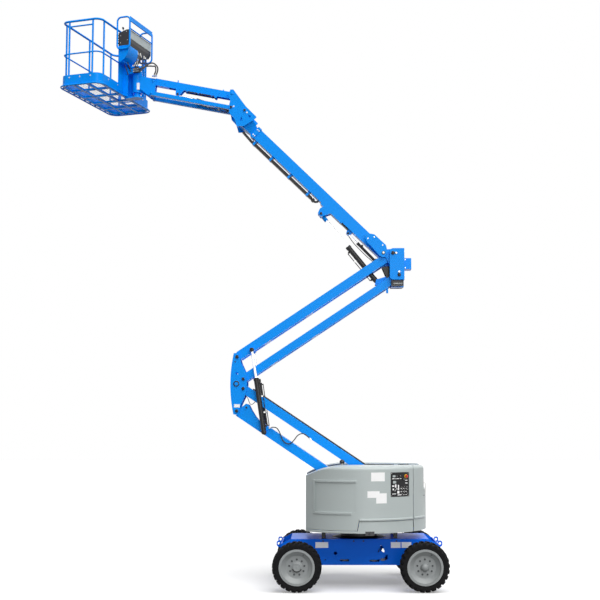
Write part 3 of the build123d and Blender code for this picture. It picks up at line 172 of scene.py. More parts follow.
def dusted(made, amount):
    """Lay a thin film of dust over a surface, most of it near the ground."""
    n = Nodes(made.node_tree)
    shader = made.node_tree.nodes["Principled BSDF"]
    base = shader.inputs["Base Color"].links[0].from_socket
    place = n.add("ShaderNodeTexCoord").outputs["Object"]
    height = n.add("ShaderNodeSeparateXYZ", Vector=place).outputs["Z"]
    fade = n.add("ShaderNodeMapRange", Value=height, From_Max=DUST_TOP, To_Min=amount, To_Max=0.0)
    clouds = n.add("ShaderNodeTexNoise", Vector=place, Scale=DUST_SCALE, Detail=6.0, Roughness=0.7)
    share = n.maths("MULTIPLY", fade.outputs["Result"], clouds.outputs["Fac"])
    n.fill(shader, Base_Color=n.mixed(share, base, (*DUST, 1)))
    return made


MATERIALS = {
    "boom_paint": shaded("boom_blue", BOOM_BLUE, 0.30, tint=0.05, specular=0.12),
    # the chassis's paint, with painted shade in its darker blue
    "chassis_paint": dusted(shaded("chassis_blue_painted_shade", CHASSIS_BLUE_WITH_PAINTED_SHADE, 0.36, specular=0.1), amount=0.012),
    "cover_grey": shaded("cover_grey", COVER_GREY, 0.42, tint=0.035, grain=420.0, depth=0.0004),
    "rim_grey": dusted(shaded("rim_grey", RIM_GREY, 0.38, coat=0.1), amount=0.2),
    "tyre": dusted(shaded("tyre_rubber", RUBBER, 0.78, tint=0.25, grain=260.0, depth=0.0008,
                          specular=0.12), amount=0.015),
    "black_steel": shaded("black_steel", SATIN_BLACK, 0.36, coat=0.05, tint=0.15, specular=0.3),
    "rod_chrome": shaded("rod_chrome", ROD_CHROME, 0.10, metallic=1.0, tint=0.02, rough_spread=0.03),
    "cast_weight": shaded("weight_grey", WEIGHT_GREY, 0.5, grain=160.0, depth=0.0008),
    "engine_iron": shaded("engine_grey", ENGINE_GREY, 0.5, tint=0.2, grain=200.0, depth=0.0008),
    "tank_black": shaded("tank_black", PLASTIC_BLACK, 0.5, tint=0.12, grain=300.0, depth=0.0005),
    "console_black": shaded("console_black", PLASTIC_BLACK, 0.42, tint=0.12, grain=420.0, depth=0.0004),
    "hose": shaded("hose_black", HOSE_BLACK, 0.5, tint=0.2, grain=500.0, depth=0.0004),
    "zinc": shaded("zinc_steel", ZINC, 0.32, metallic=1.0, tint=0.1),
    "label": shaded("label_white", LABEL_WHITE, 0.45, tint=0.015),
    "stop_red": shaded("stop_red", STOP_RED, 0.3, coat=0.3, tint=0.05),
    "yellow": shaded("lever_yellow", YELLOW, 0.35, coat=0.2, tint=0.05),
    "grating": shaded("grating_steel", GRATING_STEEL, 0.35, metallic=0.6, tint=0.1),
}
for part in frame["record"]["subparts"]:
    made_of = NODES[part["node"]].data.materials
    made_of.clear()
    made_of.append(MATERIALS[part["material_slot"]])


# ---------------- making meshes
BOX_FACES = ((0, 2, 3, 1), (4, 5, 7, 6), (0, 1, 5, 4), (1, 3, 7, 5), (3, 2, 6, 7), (2, 0, 4, 6))
EDGE_ANGLE = 35             # degrees from which an edge is rounded
BOLT_EDGE, PLATE_EDGE = 0.0008, 0.002     # width of the rounding
SAME_SPOT = 1e-6            # corners closer than this are one


def plain(x, y, z):
    """A point of the frame itself."""
    return Vector((x, y, z))


def standing(seat, out, track="Z", top="Y"):
    """Map (x, y, z) to a place on a seat, with the track axis pointing out."""
    turn = Matrix.Translation(seat) @ out.to_track_quat(track, top).to_matrix().to_4x4()
    return lambda x, y, z: turn @ Vector((x, y, z))


def around(sides):
    """Angles of a full turn."""
    return [2 * math.pi * i / sides for i in range(sides)]


def placed(name, data):
    """An object in the scene with the data."""
    made = bpy.data.objects.new(name, data)
    bpy.context.scene.collection.objects.link(made)
    return made


class Form:
    def __init__(self):
        self.mesh = bmesh.new()

    def block(self, corners):
        """Solid with eight corners, in the order of a box: x changes first, then y, then z."""
        made = [self.mesh.verts.new(p) for p in corners]
        for face in BOX_FACES:
            self.mesh.faces.new([made[i] for i in face])

    def box(self, low, high, place=plain):
        """Box between two corners of a place's own axes."""
        x, y, z = zip(low, high)
        self.block([place(a, b, c) for c in z for b in y for a in x])

    def loft(self, rings, closed=False):
        """Solid through rings of as many points, with flat ends unless closed on itself."""
        made = [[self.mesh.verts.new(p) for p in ring] for ring in rings]
        for a, b in zip(made, [*made[1:], made[0]] if closed else made[1:]):
            for k in range(len(a)):
                self.mesh.faces.new((a[k - 1], a[k], b[k], b[k - 1]))
        if not closed:
            self.mesh.faces.new(made[0])
            self.mesh.faces.new(made[-1])

    def slab(self, outline, low, high, place):
        """Prism of a flat outline; place maps (u, v, height) to space."""
        self.loft([[place(u, v, height) for u, v in outline] for height in (low, high)])

    def turned(self, profile, start, end, sides=32):
        """Solid of revolution; profile is (share of the way from start to end, radius)."""
        along = end - start
        turn = along.to_track_quat("Z", "Y").to_matrix()
        arms = [turn @ Vector((math.cos(a), math.sin(a), 0)) for a in around(sides)]
        rings = [[self.mesh.verts.new(start + along * share + arm * radius)
                  for arm in arms[:sides if radius else 1]] for share, radius in profile]
        for a, b in zip(rings, rings[1:]):
            for i in range(sides):
                j = (i + 1) % sides
                face = [a[i % len(a)], a[j % len(a)], b[j % len(b)], b[i % len(b)]]
                face = [v for k, v in enumerate(face) if v not in face[:k]]
                if len(face) > 2:
                    self.mesh.faces.new(face)

    def knob(self, profile, seat, out, low, high, sides=28):
        """Solid of revolution standing on a seat, from low to high along out, closed at both ends."""
        self.turned([(0, 0), *profile, (1, 0)], seat + out * low, seat + out * high, sides)

    def rod(self, start, end, radius, end_radius=None, sides=20):
        """Straight bar or cone between two points."""
        profile = [(0, radius), (1, radius if end_radius is None else end_radius)]
        self.knob(profile, start, end - start, 0, 1, sides)

    def pin(self, seat, out, low, high, radius, sides):
        """Straight bar on a seat, from low to high along out."""
        self.rod(seat + out * low, seat + out * high, radius, sides=sides)

    def nut(self, seat, out, radius, height):
        """Hexagon head on a washer."""
        self.pin(seat, out, 0, height * 0.25, radius * 1.35, 16)
        self.pin(seat, out, height * 0.2, height, radius, 6)

    def nut_pairs(self, y, spots, radius, height):
        """Heads at (x, z) spots on both sides, at a distance from the middle."""
        for side in both(1):
            for x, z in spots:
                self.nut(Vector((x, side * y, z)), SIDE * side, radius, height)

    def pin_ends(self, centre, y, radius, thick, sides=(-1, 1)):
        """Round chamfered heads of a pivot pin, on the outside of the plates."""
        for side in sides:
            seat = Vector((centre.x, side * y, centre.z))
            self.knob([(0, radius), (0.7, radius), (1, radius * 0.86)], seat, SIDE * side, 0, thick)

    def tube(self, points, radius, sides=10, closed=False):
        """Round tube through points, with flat ends."""
        count = len(points)
        rings = []
        normal = None
        for i, point in enumerate(points):
            before = points[i - 1] if i > 0 or closed else point
            after = points[(i + 1) % count] if i < count - 1 or closed else point
            tangent = (after - before).normalized()
            normal = tangent.orthogonal().normalized() if normal is None else normal
            normal = (normal - tangent * normal.dot(tangent)).normalized()
            across = tangent.cross(normal)
            arms = [normal * math.cos(a) + across * math.sin(a) for a in around(sides)]
            rings.append([point + arm * radius for arm in arms])
        self.loft(rings, closed)
        return self

    def finish(self, name, material, body, bevel=0.0, smooth=40):
        """Make the piece, and let it ride on a body."""
        bmesh.ops.remove_doubles(self.mesh, verts=self.mesh.verts, dist=SAME_SPOT)
        bmesh.ops.recalc_face_normals(self.mesh, faces=self.mesh.faces)
        data = bpy.data.meshes.new(name)
        self.mesh.to_mesh(data)
        self.mesh.free()
        data.materials.append(MATERIALS[material])
        piece = placed(name, data)
        if bevel:
            edge = piece.modifiers.new("edge", "BEVEL")
            edge.width = bevel
            edge.segments = 2
            edge.limit_method = "ANGLE"
            edge.angle_limit = math.radians(EDGE_ANGLE)
            edge.harden_normals = False
        data.shade_smooth()
        data.set_sharp_from_angle(angle=math.radians(smooth))
        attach(piece, body)
        return piece


def forms(count):
    """So many empty forms."""
    return [Form() for _ in range(count)]


def finish_all(body, *rows):
    """Finish forms that ride on one body; a row is a form, its piece's name, material and perhaps bevel."""
    for form, *looks in rows:
        form.finish(*looks[:2], body, *looks[2:])


def curve(points, steps=6):
    """Points of a smooth line through given ones."""
    points = [Vector(p) for p in points]
    ends = [points[0] * 2 - points[1], *points, points[-1] * 2 - points[-2]]
    line = []
    for a, b, c, d in zip(ends, ends[1:], ends[2:], ends[3:]):
        for step in range(steps):
            t = step / steps
            line.append(0.5 * ((2 * b) + (c - a) * t + (2 * a - 5 * b + 4 * c - d) * t * t
                               + (3 * b - a - 3 * c + d) * t ** 3))
    return [*line, points[-1]]


def both(value):
    """A value and its opposite."""
    return (-value, value)


def in_plane(y, points):
    """Points given as (x, z), all at one y."""
    return [Vector((x, y, z)) for x, z in points]


def leaning(origin, along):
    """Map (distance along, height above, y) of a leaning member to space."""
    along = Vector(along).normalized()
    above = along.cross(SIDE) if along.cross(SIDE).z > 0 else SIDE.cross(along)

    def place(distance, height, y=0.0):
        return origin + along * distance + above * height + SIDE * y

    return place


def boxed(member):
    """The same member's places with y before the height, as Form.box asks."""
    return lambda distance, y, height: member(distance, height, y)


# ---------------- places, from the CAD joints
FOOT, FOOT_LINK = PIN["riser_lift"], PIN["lower_link_turn"]
MID_LOW, MID_HIGH = PIN["mid_pivot_turn"], PIN["upper_arm_turn"]
LINK_HIGH = PIN["upper_link_turn"]
LINK_LOW = Vector((LINK_HIGH.x, 0, MID_LOW.z + MID_HIGH.z - LINK_HIGH.z))
TOP, BOOM_PIN = PIN["upper_pivot_turn"], PIN["boom_lift"]
TOP_LINK = TOP + (LINK_HIGH - MID_HIGH)
HEAD, JIB_PIN, JIB_LINK = PIN["jib_base_level"], PIN["jib_lift"], PIN["jib_link_turn"]
JIB_END, ROTATOR = PIN["platform_level"], PIN["platform_rotate"]
JIB_LINK_END = JIB_END + (JIB_LINK - JIB_PIN)
CYLINDER_FOOT = PIN["riser_barrel_turn"]
LIFT_FOOT, LEVEL_FOOT = PIN["lift_barrel_turn"], PIN["level_barrel_turn"]
boom = leaning(BOOM_PIN, JOINTS["boom_extend"]["axis"])
boom_up = boom(0, 1) - boom(0, 0)
upper_arm = leaning(MID_HIGH, TOP - MID_HIGH)
lower_link = leaning(LINK_LOW, FOOT_LINK - LINK_LOW)
upper_link = leaning(LINK_HIGH, TOP_LINK - LINK_HIGH)
jib = leaning(JIB_PIN, JIB_END - JIB_PIN)
jib_up = jib(0, 1) - jib(0, 0)
RISER_ROD = upper_arm(0.275, -0.046)
LIFT_EYE, LEVEL_EYE = boom(1.250, -0.234), boom(0.683, -0.154)
JIB_EYE = jib(0.950, -0.142)
BODY_RADIUS = 1.125         # of the covers' round wall
BODY_TOP = 1.98


def keeper(form, centre, y, side, toward, reach):
    """Retaining plate of a pin, lying on the face at y. Returns the seat of its bolt."""
    across = Vector((-toward.z, 0, toward.x))
    outline = ((-0.012, -0.016), (reach + 0.016, -0.013), (reach + 0.016, 0.013), (-0.012, 0.016))
    face = y + side * 0.006

    def place(along, wide, height):
        spot = centre + toward * along + across * wide
        return Vector((spot.x, height, spot.z))

    form.slab(outline, y, face, place)
    return place(reach, 0, face)


# ---------------- wheels
WHEELS = (                  # name, side and whether it is driven
    ("drive_left", -1, True), ("drive_right", 1, True), ("steer_left", -1, False), ("steer_right", 1, False))
TYRE_HALF = 0.15            # half of the width
CROWN = 0.370               # radius of the carcass in the middle of the tread
LUGS = 25                   # on each half of the tread
LUG_PITCH = 2 * math.pi / LUGS
CARCASS = (                 # distance from the middle of the wheel and radius, from the bead to the tread
    (0.1225, 0.262), (0.137, 0.288), (0.1425, 0.296), (0.1455, 0.299), (0.1455, 0.303), (0.1445, 0.306),
    (0.1475, 0.322), (0.1482, 0.334), (0.1462, 0.346), (0.139, 0.358), (0.122, 0.3645), (0.075, 0.369))
LUG = (                     # across the tread, top radius, bottom radius, lean, half width in radians
    (0.006, 0.3935, 0.362, 0.000, 0.046), (0.050, 0.3950, 0.362, 0.020, 0.050),
    (0.100, 0.3938, 0.358, 0.062, 0.060), (0.130, 0.3880, 0.352, 0.088, 0.064),
    (0.1470, 0.3720, 0.342, 0.094, 0.062), (0.1500, 0.3490, 0.334, 0.094, 0.048))
LUG_FOOT = 1.12             # width of a lug's foot, as a share of its top's
BLOCK_LEAN, BLOCK_HALF = 0.094, 0.035     # radians, of the blocks on the sidewall
BLOCK_RADII = (0.325, 0.343)
BLOCK_FACES = (0.14897, 0.14297)
WHEEL_NUTS = 9
NUT_CIRCLE = 0.122
DISH_FACE = 0.055           # from the middle of the wheel to the face of the CAD rim's dish


def on_wheel(centre, radius, angle, y=0.0):
    """A point at a radius and an angle about an axle."""
    return centre + Vector((radius * math.cos(angle), y, radius * math.sin(angle)))


def make_tyre(name):
    """Carcass with leaning lugs in two staggered rows, in place of the CAD tyre."""
    body, centre = name + "_wheel", PIN[name + "_spin"]
    form = Form()
    outline = [(-y, r) for y, r in CARCASS] + [(0, CROWN)] + [(y, r) for y, r in reversed(CARCASS)]
    outline = [((y + TYRE_HALF) / (2 * TYRE_HALF), r) for y, r in [*outline, outline[0]]]
    form.turned(outline, centre - SIDE * TYRE_HALF, centre + SIDE * TYRE_HALF, 150)
    for half in both(1):
        for number in range(LUGS):
            start = (number + (0.5 if half > 0 else 0)) * LUG_PITCH
            rows = []
            for across, top, low, lean, width in LUG:
                a, foot = start + lean, width * LUG_FOOT
                corners = ((low, a - foot), (top, a - width), (top, a + width), (low, a + foot))
                rows.append([on_wheel(centre, r, angle, half * across) for r, angle in corners])
            form.loft(rows)
    for number in range(LUGS):
        for half in both(1):
            a = (number + (1 if half > 0 else 0.5)) * LUG_PITCH + BLOCK_LEAN
            form.block([on_wheel(centre, r, a + turn, half * y)
                        for y in BLOCK_FACES for r in BLOCK_RADII for turn in both(BLOCK_HALF)])
    piece = form.finish(name + "_tread", "tyre", body, bevel=0.0016, smooth=30)
    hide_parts(name + "_tyre")


def make_hub(name, side, driven):
    """Wheel nuts on studs, hub cap and valve, on the dish of the CAD rim."""
    body, centre = name + "_wheel", PIN[name + "_spin"]
    out = SIDE * side
    nuts, stem, cap = forms(3)
    for number in range(WHEEL_NUTS):
        a = 2 * math.pi * (number + 0.25) / WHEEL_NUTS
        seat = on_wheel(centre, NUT_CIRCLE, a, side * DISH_FACE)
        nuts.turned([(0, 0), (0, 0.0155), (0.25, 0.0155), (0.25, 0.0001)], seat, seat + out * 0.02, 16)
        nuts.pin(seat, out, 0, 0.017, 0.0115, 6)
        nuts.pin(seat, out, 0, 0.026, 0.0065, 10)
    nuts.finish(name + "_wheel_nuts", "engine_iron", body, bevel=BOLT_EDGE)
    if driven:
        # drive cover with its bolts, and the dark port beside it
        start = centre + out * (DISH_FACE + 0.0255)
        cover = ((0, 0), (0, 0.0640), (0.55, 0.0640), (1, 0.0590), (1, 0.0480), (0.8, 0.0460), (0.8, 0))
        cap.turned(cover, start, start + out * 0.012, 40)
        for number in range(6):
            seat = on_wheel(start, 0.054, math.pi * (number + 0.5) / 3, side * 0.012)
            cap.pin(seat, out, -0.001, 0.006, 0.0052, 6)
        cap.nut(start + out * 0.009, out, 0.014, 0.010)
        cap.finish(name + "_hub_cover", "rim_grey", body, bevel=BOLT_EDGE)
        arc = [on_wheel(start, 0.074, math.radians(200 + 7 * i), side * 0.0012) for i in range(21)]
        Form().tube(arc, 0.0048, sides=8).finish(name + "_hub_port", "black_steel", body)
    else:
        start = centre + out * (DISH_FACE + 0.0595)
        cap.knob([(0, 0.0450), (0.35, 0.0435), (0.7, 0.0340), (0.92, 0.0180)], start, out, 0, 0.020, 36)
        cap.finish(name + "_hub_cap", "rim_grey", body)
    seat = on_wheel(centre, 0.215, math.radians(62), side * (DISH_FACE + 0.02))
    stem.knob([(0, 0.008), (0.4, 0.008), (0.45, 0.0045), (0.9, 0.0045), (1, 0.003)], seat, out, 0, 0.045, 12)
    stem.finish(name + "_valve", "black_steel", body)


for wheel, wheel_side, is_driven in WHEELS:
    make_tyre(wheel)
    make_hub(wheel, wheel_side, is_driven)

# ---------------- covers and turntable
# x and z reach of each label on the near cover, and its height off the wall
COVER_LABELS = ((0.165, 0.385, 1.745, 1.885, 0.0008), (0.105, 0.300, 1.485, 1.590, 0.0006),
                (0.245, 0.415, 1.395, 1.555, 0.0008))
# raised frame round the blank field, and the moulded line that runs on from it
COVER_FRAME = ((-0.765, -0.074, 1.728, 1.762), (-0.765, -0.150, 1.222, 1.256), (-0.765, -0.731, 1.240, 1.745))
LEDGE = (1.118, 1.156, -0.004, 0.015)     # z reach of the ledge round the covers, then its foot and its face
COVER_REACH, TAIL_REACH = (-0.03, 0.86), (0.885, 1.075)         # of the ledge, in x
LIP = (-0.80, -0.075, 0.932, 0.950, -0.004, 0.005)              # x and z reach, foot and face
HANDLE_X, HANDLE_LOW, HANDLE_HIGH = 1.055, 1.475, 1.700
LATCH_X, LATCH_Z = 0.14, 0.925
PANEL = (0.488, 0.782, 1.500, 1.874)      # x and z reach of the ground control panel
PANEL_FOOT, PANEL_FACE = -0.004, -0.001   # from the wall
SWITCH_ROWS = (1.640, 1.590, 1.540)
# plain fields in place of the panel's marks, by x and z reach
PANEL_FIELDS = ((0.505, 0.545, 1.775, 1.787), (0.560, 0.615, 1.775, 1.787), (0.630, 0.660, 1.775, 1.787),
                (0.505, 0.540, 1.655, 1.675), (0.552, 0.575, 1.640, 1.690), (0.512, 0.535, 1.600, 1.625),
                (0.590, 0.625, 1.545, 1.585), (0.600, 0.620, 1.600, 1.680), (0.505, 0.570, 1.535, 1.545),
                (0.725, 0.765, 1.700, 1.712), (0.725, 0.765, 1.745, 1.757), (0.595, 0.650, 1.515, 1.530))
PANEL_METERS = ((0.520, 0.572, 1.705, 1.745), (0.515, 0.560, 1.805, 1.835))
PANEL_DIALS = ((0.700, 1.760, 0.020), (0.640, 1.815, 0.017), (0.585, 1.815, 0.017))   # x, z, radius


def on_body(x, z, lift=0.0, side=-1):
    """A point on the round wall of the covers."""
    radius = BODY_RADIUS + lift
    return Vector((x, side * math.sqrt(radius ** 2 - x ** 2), z))


def outward(x, side=-1):
    """Direction straight out of the covers' wall."""
    return on_body(x, 0, 0, side).normalized()


def patch(form, x_low, x_high, z_low, z_high, low, high, side=-1, steps=6):
    """A thin curved plate on the covers' wall, between two distances from it."""
    outline = ((z_low, low), (z_low, high), (z_high, high), (z_high, low))
    stations = [x_low + (x_high - x_low) * i / steps for i in range(steps + 1)]
    form.loft([[on_body(x, z, lift, side) for z, lift in outline] for x in stations])


def make_cover_details():
    """Labels, moulded lines, skirt lip, tail handles and latch knobs of the covers."""
    labels, frame_lines, tail, lip, grab, latch = forms(6)
    for *reach, face in COVER_LABELS:
        patch(labels, *reach, 0.0002, face)
    labels.finish("cover_labels", "label", "control_side_cover")
    for reach in COVER_FRAME:
        patch(frame_lines, *reach, -0.004, 0.014, steps=14)
    frame_lines.finish("cover_moulding", "cover_grey", "control_side_cover", bevel=0.011)
    ledges = (("cover_ledge", "control_side_cover", -1), ("far_cover_ledge", "engine_side_cover", 1))
    for name, body, side in ledges:
        ledge = Form()
        patch(ledge, *COVER_REACH, *LEDGE, side, 20)
        ledge.finish(name, "cover_grey", body, bevel=0.010)
    for side in both(1):
        patch(tail, *TAIL_REACH, *LEDGE, side, 8)
        patch(lip, *LIP, side, 16)
        out = outward(HANDLE_X, side)
        low, high = [on_body(HANDLE_X, z, 0.0, side) for z in (HANDLE_LOW, HANDLE_HIGH)]
        route = [low - out * 0.004, low + out * 0.028 + UP * 0.012, low + out * 0.036 + UP * 0.05,
                 high + out * 0.036 - UP * 0.05, high + out * 0.028 - UP * 0.012, high - out * 0.004]
        grab.tube(curve(route), 0.008, sides=12)
        out = outward(LATCH_X, side)
        seat = on_body(LATCH_X, LATCH_Z, 0.012, side)
        latch.knob([(0, 0.020), (0.6, 0.020), (1, 0.016)], seat, out, 0, 0.012, 20)
        latch.box((-0.006, -0.014, 0), (0.006, 0.014, 0.012), standing(seat + out * 0.011, out))
    finish_all(
        "turntable", (tail, "tail_ledge", "cover_grey", 0.010), (lip, "skirt_lip", "cover_grey", 0.003),
        (grab, "tail_handles", "zinc"), (latch, "latch_knobs", "console_black", 0.001))


def make_ground_controls():
    """Switches, meters, dials and marks of the ground control panel. The marks are plain fields."""
    plate, knobs, white, grey, levers, ring = forms(6)

    def field(x_low, x_high, z_low, z_high, low=PANEL_FACE, thick=0.0005, steps=1):
        patch(white, x_low, x_high, z_low, z_high, low, low + thick, steps=steps)

    patch(plate, *PANEL, PANEL_FOOT, PANEL_FACE, steps=8)
    for row, z in enumerate(SWITCH_ROWS):
        for column in range(3):
            # a toggle switch, tipped up or down, with its field below
            x = 0.655 + 0.042 * column
            out = outward(x)
            seat = on_body(x, z + 0.01, PANEL_FACE)
            knobs.knob([(0, 0.0110), (0.5, 0.0110), (0.6, 0.0075), (1, 0.0075)], seat, out, 0, 0.010, 16)
            tip = seat + out * 0.028 + UP * (0.006 if (row + column) % 2 else -0.006)
            levers.rod(seat + out * 0.008, tip, 0.0032, 0.0048, sides=10)
            field(x - 0.012, x + 0.012, z - 0.021, z - 0.013)
    for x, z, radius in PANEL_DIALS:
        seat = on_body(x, z, PANEL_FACE)
        dial = [(0, radius), (0.35, radius), (0.45, radius * 0.8), (1, radius * 0.72)]
        knobs.knob(dial, seat, outward(x), 0, 0.022, 24)
        field(x - 0.002, x + 0.002, z + 0.002, z + radius * 0.7, PANEL_FACE + 0.0215, 0.001)
    for reach in PANEL_METERS:
        patch(grey, *reach, PANEL_FACE, PANEL_FACE + 0.004, steps=2)
    for reach in PANEL_FIELDS:
        field(*reach, steps=2)
    # stair of plain fields, like a boom's outline
    for i in range(7):
        x = 0.548 + 0.009 * i
        z = 1.585 + 0.011 * (i if i < 4 else 7 - i)
        field(x, x + 0.008, z, z + 0.010)
    for x in (PANEL[0] + 0.009, PANEL[1] - 0.009):
        for z in (PANEL[2] + 0.009, PANEL[3] - 0.009):
            levers.nut(on_body(x, z, PANEL_FACE), outward(x), 0.0045, 0.005)
    x = 0.738
    seat = on_body(x, 1.815, PANEL_FACE)
    ring.turned([(0, 0.021), (0, 0.034), (1, 0.032), (1, 0.021)], seat - outward(x) * 0.001,
                seat + outward(x) * 0.004, 32)
    finish_all(
        "control_side_cover", (plate, "control_plate", "black_steel", 0.001),
        (knobs, "control_knobs", "console_black", BOLT_EDGE), (white, "control_fields", "label"),
        (grey, "control_meters", "cover_grey", 0.001), (levers, "control_levers", "zinc"),
        (ring, "stop_ring", "yellow"))


make_cover_details()
make_ground_controls()

# ---------------- cylinders and hoses
RISER_CYLINDER_Y = 0.265
MID_FACE, JIB_FACE, JIB_SIDE = 0.205, 0.2175, 0.060     # y of the outer faces of plates and of the jib
COLLAR_ROWS = (3.022, 3.056)              # along the boom, of the bolts in its front collar
TRAY_START, TRAY_END = 1.56, 2.99         # along the boom
TRAY_HANGERS = (1.66, 2.10, 2.54, 2.94)
JIB_HANGERS = (0.36, 0.60, 0.80)          # along the jib
# three black hoses on the lower link's back, laid along the line of shade at its edge: painted shade as well as
# hoses
SHADE_LINE_HOSE_Y = (-0.135, -0.105, 0.12)      # on the lower link
SHADE_LINE_HOSE_STOPS = (0.14, 0.30, 0.9, 1.6, 2.3, 2.75)
STRAPS = (0.45, 1.15, 1.9, 2.6)
LINK_REACH = (TOP_LINK - LINK_HIGH).length
MID_LOOP = in_plane(-0.1775, (
    (-1.925, 3.150), (-1.872, 3.090), (-1.836, 3.000), (-1.795, 2.985), (-1.742, 3.030)))
RISER_HOSE = [Vector((-1.500, -0.204, 2.585)), Vector((-1.445, -0.200, 2.600)), *in_plane(-0.190, (
    (-1.377, 2.583), (-1.325, 2.500), (-1.280, 2.390), (-1.225, 2.335), (-1.160, 2.326), (-1.095, 2.378),
    (-1.038, 2.452), (-0.985, 2.487), (-0.925, 2.490), (-0.862, 2.445), (-0.810, 2.400)))]
PIVOT_HOSE = in_plane(-0.098, (
    (-0.165, 5.862), (-0.080, 5.742), (0.041, 5.612), (0.150, 5.505), (0.245, 5.420), (0.330, 5.330)))
HEAD_HOSE = in_plane(-0.165, (
    (-2.125, 7.900), (-2.105, 7.830), (-2.062, 7.765), (-2.010, 7.775), (-1.975, 7.840)))


def hose(name, body, points, radius, ends=True):
    """One hose through points, with a crimped fitting at each end if asked."""
    line = curve(points)
    Form().tube(line, radius, sides=12).finish(name, "hose", body)
    if not ends:
        return
    fittings = Form()
    for tip, inner in ((line[0], line[2]), (line[-1], line[-3])):
        along = (inner - tip).normalized()
        fittings.pin(tip, along, -0.004, 0.030, radius * 1.28, 12)
        fittings.pin(tip, along, -0.012, 0.006, radius * 1.55, 6)
    fittings.finish(name + "_fittings", "zinc", body)


def cylinder_trim(name, barrel, foot, head, y, radius, length, pipe_side, pipe=True):
    """Gland, base collar, ports and the pipe between them, on the outside of a CAD barrel."""
    axis = (head - foot).normalized()
    across = SIDE.cross(axis) * pipe_side
    start = Vector((foot.x, y, foot.z))

    def at(distance, out=0.0):
        return start + axis * distance + across * out

    rings, run, clips = forms(3)
    gland = ((0, 1), (0, 1.10), (0.75, 1.10), (1, 1.02), (1, 0.5))
    base = ((0, 0.9), (0, 1.07), (1, 1.07), (1, 0.9))
    for profile, low, high in ((gland, length - 0.040, 0.050), (base, radius * 1.5, 0.022)):
        rings.turned([(share, size * radius) for share, size in profile], at(low), at(low + high), 28)
    low_port, high_port = radius * 2.4, length - 0.085
    for distance in (low_port, high_port):
        rings.box((-0.017, -0.017, 0), (0.017, 0.017, 0.020), standing(at(distance, radius * 0.96), across))
    rings.finish(name + "_collars", "black_steel", barrel, bevel=0.0012)
    if not pipe:
        return
    off, port_top = radius + 0.032, radius + 0.014
    route = ((low_port, port_top), (low_port + 0.012, off), (low_port + 0.05, off), (length - 0.14, off),
             (length - 0.10, off), (length - 0.086, port_top))
    run.tube(curve([at(*spot) for spot in route], 5), 0.0075)
    run.finish(name + "_pipe", "black_steel", barrel)
    for share in (0.36, 0.66):
        place = standing(at(length * share, radius * 0.98), across)
        clips.box((-0.009, -0.013, 0), (0.009, 0.013, 0.034), place)
    clips.finish(name + "_pipe_clips", "zinc", barrel, bevel=0.001)


def make_riser_details():
    """Trim of the riser cylinders and the middle pivot, and the riser's hoses."""
    axis = (RISER_ROD - CYLINDER_FOOT).normalized()
    for side, word in ((-1, "near"), (1, "far")):
        y = side * RISER_CYLINDER_Y
        cylinder_trim(word + "_riser", "riser_barrels", CYLINDER_FOOT, RISER_ROD, y, 0.042, 0.906, 1)
        cap, foot, block = forms(3)
        cap.pin_ends(RISER_ROD, 0.2832, 0.037, 0.009, [side])
        cap.finish(word + "_riser_rod_cap", "black_steel", "riser_rods")
        foot.pin_ends(CYLINDER_FOOT, 0.3085, 0.036, 0.010, [side])
        foot.finish(word + "_riser_foot_cap", "black_steel", "lower_arm")
        block.box((-0.030, -0.030, 0.045), (0.030, 0.030, 0.105), standing(CYLINDER_FOOT + SIDE * y, axis))
        block.finish(word + "_riser_port_block", "black_steel", "riser_barrels", bevel=0.003)
    heads, bolts, rings, marks, straps, hook = forms(6)
    middle = (MID_LOW + MID_HIGH) / 2 - AHEAD * 0.010
    for centre, radius in ((MID_LOW, 0.029), (MID_HIGH, 0.029), (LINK_LOW, 0.027), (LINK_HIGH, 0.027)):
        heads.pin_ends(centre, 0.2145, radius, 0.009)
        bolts.nut_pairs(0.2235, [(centre.x, centre.z)], 0.0105, 0.008)
    bolts.nut_pairs(MID_FACE, [(-1.890, 2.929)], 0.012, 0.010)
    bolts.nut_pairs(MID_FACE, [(-2.085, 3.700)], 0.009, 0.007)
    for side in both(1):
        rings.turned([(0, 0.0325), (0, 0.050), (0.7, 0.050), (1, 0.046), (1, 0.0325)],
                     middle + SIDE * side * 0.2046, middle + SIDE * side * 0.2150)
    marks.box((-2.100, -0.2062, 2.932), (-2.002, -0.2052, 2.986))
    finish_all(
        "mid_pivot", (heads, "mid_pivot_pin_heads", "black_steel"),
        (rings, "mid_pivot_rings", "black_steel"), (bolts, "mid_pivot_bolts", "black_steel", BOLT_EDGE),
        (marks, "mid_pivot_label", "label"))
    # hoses: a loop behind the cylinder, three on the lower link's back under straps, and the long S. The three
    # black ones on the link's back also serve as painted shade: they lie along the link's edge, where there is a
    # line of shade
    hose("mid_hose_loop", "mid_pivot", MID_LOOP, 0.0055, ends=False)
    for y in SHADE_LINE_HOSE_Y:
        line = [lower_link(distance, 0.0855, y) for distance in SHADE_LINE_HOSE_STOPS]
        Form().tube(line, 0.011).finish("link_back_shade_line_hose_%d" % round(200 + y * 1000), "hose", "lower_link")
    for distance in STRAPS:
        place = standing(lower_link(distance, 0.0722, -0.12), (MID_LOW - FOOT).normalized(), "X", "Z")
        straps.box((-0.012, -0.034, 0), (0.012, 0.034, 0.027), place)
    straps.finish("link_back_straps", "black_steel", "lower_link", bevel=PLATE_EDGE)
    hose("riser_hose", "lower_arm", RISER_HOSE, 0.0085)
    end = upper_link(LINK_REACH - 0.30, -0.085)
    hook.box((end.x - 0.018, -0.166, end.z - 0.070), (end.x + 0.018, -0.152, end.z + 0.020))
    hook.finish("upper_link_hook", "boom_paint", "upper_link", bevel=0.003)


